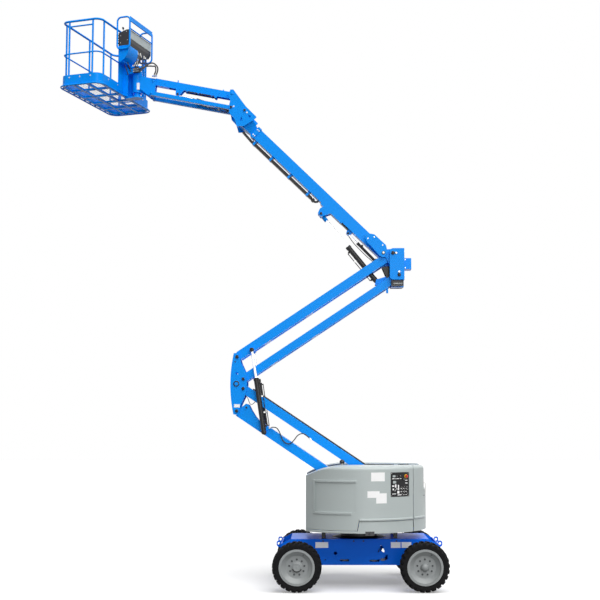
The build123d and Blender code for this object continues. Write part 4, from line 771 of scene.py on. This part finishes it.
def make_upper_pivot_details():
    """Pins with keepers, bolts and guards of the upper pivot."""
    heads, bolts, plates, inner, slots = forms(5)
    heads.pin_ends(TOP, 0.2525, 0.029, 0.010)
    heads.pin_ends(TOP_LINK, 0.2525, 0.029, 0.010)
    heads.pin_ends(BOOM_PIN, 0.2188, 0.030, 0.005)
    bolts.nut_pairs(0.2235, [(BOOM_PIN.x, BOOM_PIN.z)], 0.0125, 0.010)
    bolts.nut_pairs(0.110, [(0.800, 5.315), (0.800, 5.455)], 0.008, 0.006)
    for side in both(1):
        for centre, toward, reach in ((TOP, AHEAD, 0.058), (TOP_LINK, UP, 0.054)):
            seat = keeper(plates, centre, side * 0.2455, side, toward, reach)
            bolts.nut(seat, SIDE * side, 0.0125, 0.011)
        # black plates behind the boom's heel, and the slotted guard under the outer plates
        inner.slab([(0.402, 5.335), (0.535, 5.345), (0.560, 5.110), (0.480, 5.150)],
                   side * 0.083, side * 0.090, lambda x, z, y: Vector((x, y, z)))
        inner.box((0.556, side * 0.180, 4.990), (0.763, side * 0.222, 5.086))
        slots.box((0.592, side * 0.2215, 5.020), (0.742, side * 0.2228, 5.040))
        for z in (5.16, 5.58):
            bolts.nut(Vector((0.7775, side * 0.19, z)), AHEAD, 0.012, 0.010)
    finish_all(
        "upper_pivot", (heads, "upper_pivot_pin_heads", "black_steel"),
        (plates, "upper_pivot_keepers", "black_steel"), (bolts, "upper_pivot_bolts", "zinc", BOLT_EDGE),
        (inner, "upper_pivot_guards", "black_steel", PLATE_EDGE),
        (slots, "upper_pivot_guard_slots", "rim_grey"))


def make_boom_details():
    """Trim of the lift and levelling cylinders, the boom's bolts and its hose tray."""
    cylinder_trim("lift", "lift_barrel", LIFT_FOOT, LIFT_EYE, 0, 0.044, 0.804, -1)
    cylinder_trim("level", "level_barrel", LEVEL_FOOT, LEVEL_EYE, 0, 0.024, 0.480, 1, pipe=False)
    collar, bolts, heads, tray, hangers, nose, strip, chain = forms(8)
    axis = (LIFT_EYE - LIFT_FOOT).normalized()
    collar.turned([(0, 0.025), (0, 0.036), (0.8, 0.036), (1, 0.030), (1, 0.025)],
                  LIFT_EYE - axis * 0.150, LIFT_EYE - axis * 0.050, 24)
    collar.finish("lift_rod_collar", "boom_paint", "lift_rod", bevel=0.001)
    heads.pin_ends(LIFT_EYE, 0.0935, 0.024, 0.008)
    heads.pin_ends(LEVEL_EYE, 0.0535, 0.019, 0.007)
    for side in both(1):
        # wear pad bolts on the sides and the top of the front collar, in two rows
        for distance in COLLAR_ROWS:
            for height in both(0.055):
                bolts.nut(boom(distance, height, side * 0.102), SIDE * side, 0.0085, 0.007)
            bolts.nut(boom(distance, 0.109, side * 0.05), boom_up, 0.0085, 0.007)
        for distance, height in ((0.10, 0.085), (0.30, 0.085), (0.36, -0.005)):
            bolts.nut(boom(distance, height, side * 0.215), SIDE * side, 0.009, 0.007)
    # hose tray under the boom: a long black trough on hangers, with the hoses coming out at its lower end
    along = boxed(boom)
    tray.box((TRAY_START, -0.052, -0.178), (TRAY_END, 0.052, -0.128), along)
    for distance in TRAY_HANGERS:
        hangers.box((distance - 0.02, -0.060, -0.182), (distance + 0.02, 0.060, -0.094), along)
    finish_all(
        "primary_boom", (heads, "boom_pin_heads", "black_steel"), (bolts, "boom_bolts", "zinc", BOLT_EDGE),
        (tray, "hose_tray", "black_steel", 0.008), (hangers, "hose_tray_hangers", "boom_paint", 0.003))
    for number, y in enumerate((-0.030, 0.0, 0.030)):
        route = [boom(1.60, -0.150, y), boom(1.54, -0.152, y), boom(1.49, -0.158, y * 1.1),
                 boom(1.455, -0.128, y * 1.2), boom(1.445, -0.100, y * 1.2)]
        hose("tray_hose_%d" % (number + 1), "primary_boom", route, 0.012, ends=False)
    nose.box((1.500, -0.045, -0.186), (1.545, 0.045, -0.126), along)
    strip.box((0.720, -0.050, -0.121), (1.130, 0.050, -0.096), along)
    # chain links that roll out of the tray at its upper end
    for i in range(7):
        d, rise = TRAY_END + 0.005 + 0.034 * i, 0.003 * i
        chain.box((d, -0.042, -0.176 + rise), (d + 0.028, 0.042, -0.136 + rise), along)
    finish_all(
        "primary_boom", (nose, "hose_tray_clamp", "black_steel", 0.004),
        (strip, "boom_wear_strip", "black_steel", PLATE_EDGE),
        (chain, "hose_chain_end", "console_black", 0.005))
    # hose between the levelling cylinder and the pivot; it is taken off the boom and left fixed where it lies
    bend = Form().tube(curve(PIVOT_HOSE, 8), 0.007).finish("pivot_hose", "hose", "primary_boom")
    bend.parent = None
    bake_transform(bend)


def make_jib_details():
    """Trim of the jib cylinder, pins and bolts of the jib's base, and the hoses on brackets below the jib."""
    cylinder_trim("jib", "jib_barrel", JIB_LINK, JIB_EYE, 0, 0.032, 0.640, -1)
    heads, bolts, flush, jib_heads, studs, run, hang = forms(7)
    flush.pin_ends(JIB_PIN, JIB_FACE, 0.024, 0.005)
    heads.pin_ends(HEAD, JIB_FACE, 0.021, 0.008)
    heads.pin_ends(JIB_LINK, JIB_FACE, 0.022, 0.008)
    jib_heads.pin_ends(JIB_EYE, 0.0635, 0.020, 0.006)
    spots = [(HEAD.x + 0.040, HEAD.z - 0.040), (JIB_LINK.x + 0.042, JIB_LINK.z + 0.012)]
    bolts.nut_pairs(0.210, spots, 0.011, 0.009)
    for x, z in ((-3.132, 8.600), (-2.343, 8.435)):
        studs.rod(Vector((x, 0, z - 0.03)), Vector((x, 0, z + 0.016)) + jib_up * 0.01, 0.010, sides=12)
    spots = [jib(distance, 0).xz for distance in (0.10, 0.24, 1.20, 1.30)]
    studs.nut_pairs(JIB_SIDE, spots, 0.0075, 0.006)
    # hoses along the jib's underside on hangers, and the bracket near its root
    for y in both(0.052):
        run.tube(curve([jib(distance, -0.069, y) for distance in (0.30, 0.45, 0.70, 0.83)], 4), 0.009)
    for distance in JIB_HANGERS:
        for side in both(1):
            low, high = (distance - 0.008, side * 0.042, -0.080), (distance + 0.008, side * 0.063, -0.056)
            hang.box(low, high, boxed(jib))
    outline = [(0.262, -0.050), (0.318, -0.050), (0.310, -0.092), (0.272, -0.096)]
    for low, high in ((0.0585, 0.0665), (-0.0665, -0.0585)):
        hang.slab(outline, low, high, jib)
    finish_all(
        "jib_base", (heads, "jib_base_pin_heads", "black_steel"),
        (flush, "jib_base_blue_head", "boom_paint"), (bolts, "jib_base_bolts", "zinc", BOLT_EDGE))
    finish_all(
        "jib", (studs, "jib_studs", "boom_paint", BOLT_EDGE), (jib_heads, "jib_pin_heads", "black_steel"),
        (run, "jib_side_hoses", "hose"), (hang, "jib_brackets", "boom_paint", PLATE_EDGE))
    hose("head_hose", "extension", HEAD_HOSE, 0.011, ends=False)


make_riser_details()
make_upper_pivot_details()
make_boom_details()
make_jib_details()

# ---------------- platform, drawn square and then turned
FLOOR_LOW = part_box("platform_floor")[0].z
GUARD_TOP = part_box("console_guard")[1].z
CONSOLE_LOW, CONSOLE_HIGH = (corner.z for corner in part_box("control_console"))
PLATFORM_TURN = Matrix.Translation((ROTATOR.x, 0, 0)) @ Matrix.Rotation(math.radians(-18), 4, "Z")
PLATFORM_FAR, PLATFORM_NEAR = -0.980, -0.220      # x of the long sides, measured from the rotator
PLATFORM_HALF = 0.915       # half of the length
CORNER = 0.130
ROTATOR_HIGH = JIB_END.z + 0.240
TAB_LOW, TAB_HIGH = FLOOR_LOW - 0.012, FLOOR_LOW + 0.004      # of the tabs that carry the edge tube
GRATING_LOW, GRATING_HIGH = FLOOR_LOW + 0.043, FLOOR_LOW + 0.046
CONSOLE_NEAR, CONSOLE_FAR = -0.356, 0.436
CONSOLE_FACE = 0.019        # side away from the operator
CONSOLE_BACK = -0.189
CONSOLE_RISE = 0.050 / (CONSOLE_FACE - 0.060 - CONSOLE_BACK)     # slope of the console's top
STICK_ROW, SWITCH_ROW, FIELD_ROW = -0.120, -0.070, -0.165         # x of the rows on it
VALVE_LOW = ROTATOR_HIGH - 0.118
VALVE_HOSE_GAP = 0.034      # between the two hoses
VALVE_HOSE = (              # x, y, z of the first hose, and how many gaps the second lies off it in x and z
    (-3.640, -0.105, 8.880, 0, -1), (-3.554, -0.105, 8.899, 0, -1.6), (-3.485, -0.103, 8.840, -1, 0),
    (-3.473, -0.112, 8.770, -1, 0), (-3.488, -0.120, 8.710, -1, 0), (-3.500, -0.124, 8.668, -1, 0))


def on_floor(x, y, z):
    """A point of the platform, measured from the rotator before the platform is turned."""
    return PLATFORM_TURN @ Vector((x, y, z))


def way(x, y, z):
    """A direction in the platform's own axes."""
    return PLATFORM_TURN.to_3x3() @ Vector((x, y, z))


def on_slope(x, y, lift=0.0):
    """A point on the console's sloping top."""
    return on_floor(x, y, CONSOLE_HIGH - 0.050 + (x - CONSOLE_BACK) * CONSOLE_RISE + lift)


def rounded(outset, steps=7):
    """Outline of the platform with round corners, set out from its edge."""
    points = []
    x_low, x_high, y_end = PLATFORM_FAR - outset, PLATFORM_NEAR + outset, PLATFORM_HALF + outset
    radius = CORNER + outset
    for cx, cy, start in ((x_high - radius, y_end - radius, 0), (x_low + radius, y_end - radius, 90),
                          (x_low + radius, -y_end + radius, 180), (x_high - radius, -y_end + radius, 270)):
        for i in range(steps + 1):
            a = math.radians(start + 90 * i / steps)
            points.append((cx + radius * math.cos(a), cy + radius * math.sin(a)))
    return points


def make_floor_details():
    """Tube round the floor on tabs, the grating, and the toe board's bolts."""
    edge, tabs, mesh, bolts = forms(4)
    edge.tube([on_floor(x, y, FLOOR_LOW - 0.004) for x, y in rounded(0.030)], 0.013, closed=True)
    for i in range(10):
        y = -0.80 + 1.60 * i / 9
        for x, side in ((PLATFORM_FAR, -1), (PLATFORM_NEAR, 1)):
            low, high = (x - side * 0.010, y - 0.016, TAB_LOW), (x + side * 0.024, y + 0.016, TAB_HIGH)
            tabs.box(low, high, on_floor)
    for i in range(4):
        x = -0.86 + 0.52 * i / 3
        for side in both(1):
            tabs.box((x - 0.016, side * (PLATFORM_HALF - 0.010), TAB_LOW),
                     (x + 0.016, side * (PLATFORM_HALF + 0.024), TAB_HIGH), on_floor)
    bars = [(PLATFORM_FAR + 0.008, PLATFORM_NEAR - 0.008, y - 0.001, y + 0.001)
            for y in [-PLATFORM_HALF + 0.0508 * i for i in range(1, 36)]]
    bars += [(x - 0.001, x + 0.001, -PLATFORM_HALF + 0.008, PLATFORM_HALF - 0.008)
             for x in [PLATFORM_FAR + 0.0507 * i for i in range(1, 15)]]
    for x_low, x_high, y_low, y_high in bars:
        mesh.box((x_low, y_low, GRATING_LOW), (x_high, y_high, GRATING_HIGH), on_floor)
    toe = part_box("toe_board")[1].z - 0.045
    for y in (-0.62, -0.30, 0.0, 0.30, 0.62):
        for x, out in ((PLATFORM_FAR, -1), (PLATFORM_NEAR, 1)):
            bolts.nut(on_floor(x, y, toe), way(out, 0, 0), 0.010, 0.007)
    for x in (-0.80, -0.60, -0.40):
        for side in both(1):
            bolts.nut(on_floor(x, side * PLATFORM_HALF, toe), way(0, side, 0), 0.010, 0.007)
    finish_all(
        "platform", (edge, "floor_edge_tube", "boom_paint"),
        (tabs, "floor_edge_tabs", "boom_paint", PLATE_EDGE), (mesh, "floor_grating", "grating"),
        (bolts, "toe_board_bolts", "zinc", BOLT_EDGE))


def make_console_details():
    """Joysticks, switches, stop and plain fields of the console, and the band of its guard."""
    band, panel, knobs, white, levers, red = forms(6)
    x = PLATFORM_NEAR + 0.255
    band.box((x - 0.004, CONSOLE_NEAR - 0.016, GUARD_TOP - 0.092),
             (x + 0.004, CONSOLE_FAR + 0.016, GUARD_TOP - 0.010), on_floor)
    panel.box((CONSOLE_FACE - 0.001, CONSOLE_NEAR + 0.012, CONSOLE_HIGH - 0.150),
              (CONSOLE_FACE + 0.003, CONSOLE_FAR - 0.012, CONSOLE_HIGH - 0.012), on_floor)
    out = way(-CONSOLE_RISE, 0, 1).normalized()
    # on the sloping top: two joysticks with boots, a row of switches, their fields and an emergency stop
    for y in (-0.27, 0.02):
        seat = on_slope(STICK_ROW, y)
        boot = ((0, 0.030), (0.3, 0.027), (0.55, 0.018), (0.62, 0.021), (0.80, 0.011), (1, 0.008))
        knobs.knob(boot, seat, out, -0.002, 0.050, 24)
        levers.pin(seat, out, 0.045, 0.074, 0.008, 12)
        knobs.knob([(0, 0.010), (0.3, 0.017), (0.8, 0.018), (1, 0.010)], seat, out, 0.068, 0.116, 20)
    for i in range(8):
        seat = on_slope(SWITCH_ROW, -0.19 + 0.052 * i)
        tip = seat + out * 0.026 + UP * (0.003 if i % 2 else -0.003)
        levers.pin(seat, out, -0.001, 0.008, 0.009, 6)
        levers.rod(seat + out * 0.006, tip, 0.003, 0.0045, sides=10)
    for i in range(7):
        y = -0.20 + 0.078 * i
        white.box((FIELD_ROW - 0.013, y, 0.0002), (FIELD_ROW + 0.013, y + 0.050, 0.0009), on_slope)
    seat = on_slope(STICK_ROW, 0.30)
    levers.knob([(0, 0.030), (1, 0.028)], seat, out, -0.001, 0.006)
    red.knob([(0, 0.012), (0.4, 0.012), (0.45, 0.024), (0.8, 0.025), (1, 0.016)], seat, out, 0, 0.040)
    # knobs on the side towards the operator, screws in the end cheeks and a box below
    for i in range(4):
        z = CONSOLE_LOW + 0.060 + 0.045 * i
        for y in (-0.32, -0.24):
            radius = 0.010 if i % 2 else 0.013
            knobs.pin(on_floor(CONSOLE_BACK, y, z), way(-1, 0, 0), -0.002, 0.026, radius, 14)
    for x, z in ((-0.150, CONSOLE_LOW + 0.05), (-0.020, CONSOLE_LOW + 0.09), (-0.150, CONSOLE_HIGH - 0.10),
                 (-0.040, CONSOLE_HIGH - 0.03)):
        for y, side in ((CONSOLE_NEAR, -1), (CONSOLE_FAR, 1)):
            levers.nut(on_floor(x, y, z), way(0, side, 0), 0.006, 0.005)
    knobs.box((-0.185, -0.30, CONSOLE_LOW - 0.030), (-0.060, -0.16, CONSOLE_LOW + 0.002), on_floor)
    finish_all(
        "platform", (band, "guard_band", "boom_paint", PLATE_EDGE),
        (panel, "console_back_panel", "cover_grey", 0.0015),
        (knobs, "console_knobs", "console_black", 0.001), (levers, "console_levers", "zinc"),
        (white, "console_fields", "label"), (red, "console_stop", "stop_red", 0.001))


def make_console_lines():
    """Lines from the console down to the rotator, one curled hose, and the plates beside the mount."""
    lines, sleeves, plates = forms(3)
    rotator_top = ROTATOR_HIGH + 0.030
    exits = ((-0.02, 0.02), (-0.035, 0.06), (-0.01, 0.10), (-0.03, 0.15), (-0.045, 0.20), (-0.02, 0.26))
    for i, (x, y) in enumerate(exits):
        low = rotator_top + 0.02 + 0.012 * (i % 3)
        route = [(x, y, CONSOLE_LOW + 0.006), (x, y, CONSOLE_LOW - 0.05),
                 (x - 0.012, y * 0.8 - 0.01, CONSOLE_LOW - 0.15), (x - 0.02, y * 0.55 - 0.03, low + 0.07),
                 (x - 0.035, y * 0.45 - 0.05, low)]
        lines.tube(curve([on_floor(*p) for p in route]), 0.0085 if i % 2 else 0.0065)
        sleeves.pin(on_floor(x, y, CONSOLE_LOW), UP, -0.045, 0.004, 0.013, 6)
    for i, x in enumerate((-0.150, -0.125, -0.175)):
        low = rotator_top - 0.06 - 0.05 * i
        route = [(x, -0.170 - 0.02 * i, CONSOLE_LOW - 0.028), (x, -0.185, CONSOLE_LOW - 0.10),
                 (x + 0.02, -0.205, low + 0.18), (x + 0.05, -0.175, low + 0.08), (x + 0.06, -0.130, low)]
        lines.tube(curve([on_floor(*p) for p in route]), 0.0085)
    finish_all("platform", (lines, "console_lines", "hose"), (sleeves, "console_line_glands", "zinc"))
    curl = ((-0.03, 0.33, 0.004), (-0.03, 0.34, -0.06), (-0.01, 0.36, -0.13), (0.01, 0.30, -0.17),
            (0.0, 0.22, -0.13), (-0.02, 0.20, -0.19), (-0.04, 0.10, -0.26), (-0.05, 0.03, -0.29))
    hose("console_curl", "platform", [on_floor(x, y, CONSOLE_LOW + z) for x, y, z in curl], 0.009)
    for y_low, y_high in ((-0.300, -0.115), (0.115, 0.210)):
        plates.box((PLATFORM_NEAR + 0.0005, y_low, FLOOR_LOW + 0.055),
                   (PLATFORM_NEAR + 0.0065, y_high, CONSOLE_LOW + 0.010), on_floor)
    plates.finish("mount_side_plates", "boom_paint", "platform", bevel=PLATE_EDGE)


def make_platform_valve():
    """Valve block on a plate beside the mount, and its two hoses down to a shelf on the bracket."""
    plate, block, fittings, shelf, unions, mark, ends = forms(7)
    plate.box((-0.200, -0.1165, VALVE_LOW + 0.004), (0.120, -0.1105, VALVE_LOW + 0.090), on_floor)
    block.box((0.000, -0.170, VALVE_LOW), (0.115, -0.117, VALVE_LOW + 0.075), on_floor)
    for x, height in ((0.018, 0.118), (0.064, 0.108)):
        block.box((x, -0.160, VALVE_LOW + 0.074), (x + 0.030, -0.127, VALVE_LOW + height), on_floor)
    for x in (0.014, 0.042, 0.070, 0.098):
        for z in (VALVE_LOW + 0.018, VALVE_LOW + 0.054):
            fittings.pin(on_floor(x, -0.170, z), way(0, -1, 0), 0, 0.014, 0.0095, 6)
            fittings.pin(on_floor(x, -0.170, z), way(0, -1, 0), 0.012, 0.024, 0.006, 10)
    finish_all(
        "platform", (plate, "valve_plate", "boom_paint", PLATE_EDGE),
        (block, "valve_block", "console_black", 0.003), (fittings, "valve_fittings", "zinc"))
    for number in range(2):
        drop = VALVE_HOSE_GAP * number
        start = on_floor(0.112, -0.145, VALVE_LOW + 0.020 + drop)
        points = [Vector((x + drop * in_x, y, z + drop * in_z)) for x, y, z, in_x, in_z in VALVE_HOSE]
        line = curve([start, start + Vector((0.045, 0.004, 0.035)), *points], 7)
        piece = Form().tube(line, 0.012, sides=12).finish("valve_hose_%d" % (number + 1), "hose", "platform")
        piece.parent = None
        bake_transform(piece)
    shelf.box((-3.570, -0.140, 8.662), (-3.484, -0.0885, 8.668))
    for x in (-3.500, -3.534):
        unions.pin(Vector((x, -0.124, 8.648)), UP, 0, 0.040, 0.0135, 6)
    mark.box((ROTATOR.x + 0.004, -0.0905, 8.435), (ROTATOR.x + 0.052, -0.0845, 8.555))
    ends.pin_ends(JIB_LINK_END, 0.1945, 0.021, 0.006)
    ends.pin_ends(JIB_END, 0.0915, 0.021, 0.006)
    finish_all(
        "platform_bracket", (shelf, "hose_shelf", "boom_paint", PLATE_EDGE),
        (unions, "hose_unions", "zinc"), (mark, "rotator_label", "label"),
        (ends, "bracket_pin_heads", "boom_paint"))


make_floor_details()
make_console_details()
make_console_lines()
make_platform_valve()

# ---------------- chassis
CHASSIS_FACE = 0.500
CHASSIS_LABELS = ((-0.726, -0.517), (0.509, 0.668), (0.684, 0.843))     # x reach
POST_X, POST_Y, POST_HALF = 0.590, 0.380, 0.032


def make_chassis_details():
    """Labels, bolts and post caps of the chassis, and the bulb on the near cover's top."""
    marks, bolts, posts, bulb, ring = forms(5)
    for side in both(1):
        for x_low, x_high in CHASSIS_LABELS:
            marks.box((x_low, side * (CHASSIS_FACE - 0.0002), 0.635),
                      (x_high, side * (CHASSIS_FACE + 0.0009), 0.728))
        for x in both(POST_X):
            y = side * POST_Y
            posts.box((x - POST_HALF, y - POST_HALF, 0.7775), (x + POST_HALF, y + POST_HALF, 0.9065))
    ends = [(x, z) for x in (-0.92, -0.78, 0.78, 0.92) for z in (0.50, 0.62)]
    bolts.nut_pairs(CHASSIS_FACE, ends, 0.013, 0.011)
    bolts.nut_pairs(CHASSIS_FACE, [(x, 0.745) for x in (-0.60, -0.10, 0.06, 0.60)], 0.010, 0.008)
    finish_all(
        "chassis", (marks, "chassis_labels", "label"), (bolts, "chassis_bolts", "black_steel", BOLT_EDGE),
        (posts, "corner_post_caps", "black_steel", PLATE_EDGE))
    centre = Vector((-0.285, -0.285, BODY_TOP + 0.040))
    glass = ((0, 0.030), (0.12, 0.030), (0.16, 0.022), (0.22, 0.034), (0.40, 0.042), (0.60, 0.043),
             (0.80, 0.034), (0.94, 0.018))
    bulb.knob(glass, centre, UP, -0.042, 0.046)
    band = ((0, 0.020), (0, 0.033), (1, 0.033), (1, 0.020))
    ring.turned(band, centre - UP * 0.036, centre - UP * 0.026, 28)
    finish_all(
        "control_side_cover", (bulb, "cover_bulb", "console_black"), (ring, "cover_bulb_ring", "zinc"))


make_chassis_details()


# ---------------- stage
def seen_rays(n):
    """1 for rays from the camera, a gloss or through glass, which see the white surroundings."""
    path = n.add("ShaderNodeLightPath").outputs
    seen = n.maths("MAXIMUM", path["Is Camera Ray"], path["Is Glossy Ray"])
    return n.maths("MAXIMUM", seen, path["Is Transmission Ray"])


def grey(value):
    """A neutral colour."""
    return (value, value, value, 1)


def make_world():
    """White surroundings, which light the object less than they show."""
    world = bpy.data.worlds.new("studio")
    bpy.context.scene.world = world
    world.use_nodes = True
    n = Nodes(world.node_tree)
    world.node_tree.nodes.clear()
    ambient = n.add("ShaderNodeBackground", Color=WHITE, Strength=AMBIENT)
    backdrop = n.add("ShaderNodeBackground", Color=WHITE, Strength=1.0)
    choice = n.add("ShaderNodeMixShader", Fac=seen_rays(n))
    n.put(choice.inputs[1], ambient.outputs["Background"])
    n.put(choice.inputs[2], backdrop.outputs["Background"])
    n.add("ShaderNodeOutputWorld", Surface=choice.outputs["Shader"])


def make_floor():
    """White floor that keeps the object's soft shadow and lights it little from below."""
    ground = bpy.data.meshes.new("floor")
    reach = FLOOR_HALF_SIZE
    ground.from_pydata([(-reach, -reach, 0), (reach, -reach, 0), (reach, reach, 0), (-reach, reach, 0)], [],
                       [(0, 1, 2, 3)])
    floor = placed("floor", ground)
    floor.location.z = -FLOOR_DROP
    paper = bpy.data.materials.new("floor_white")
    paper.use_nodes = True
    n = Nodes(paper.node_tree)
    seen = seen_rays(n)
    n.fill(paper.node_tree.nodes["Principled BSDF"], Roughness=0.9, Specular_IOR_Level=0.0,
           Base_Color=n.mixed(seen, grey(FLOOR_COLOUR), grey(FLOOR_SHADED_PART)),
           Emission_Color=WHITE, Emission_Strength=n.maths("MULTIPLY", seen, FLOOR_PLAIN_PART))
    ground.materials.append(paper)


def make_stage():
    """Surroundings, three soft lamps, the floor and the camera."""
    scene = bpy.context.scene
    scene.view_settings.view_transform = "Standard"
    make_world()
    for name, direction, strength, spread in LAMPS:
        lamp = bpy.data.lights.new(name, "SUN")
        lamp.energy = strength
        lamp.angle = math.radians(spread)
        placed(name, lamp).rotation_euler = (-Vector(direction)).to_track_quat("-Z", "Y").to_euler()
    make_floor()
    lens = bpy.data.cameras.new("camera")
    lens.lens = CAMERA_LENS
    lens.shift_x, lens.shift_y = CAMERA_SHIFT
    lens.clip_end = 200
    camera = placed("camera", lens)
    camera.location = CAMERA_PLACE
    camera.rotation_euler = (math.radians(90 + CAMERA_TILT), 0, 0)
    scene.camera = camera


make_stage()
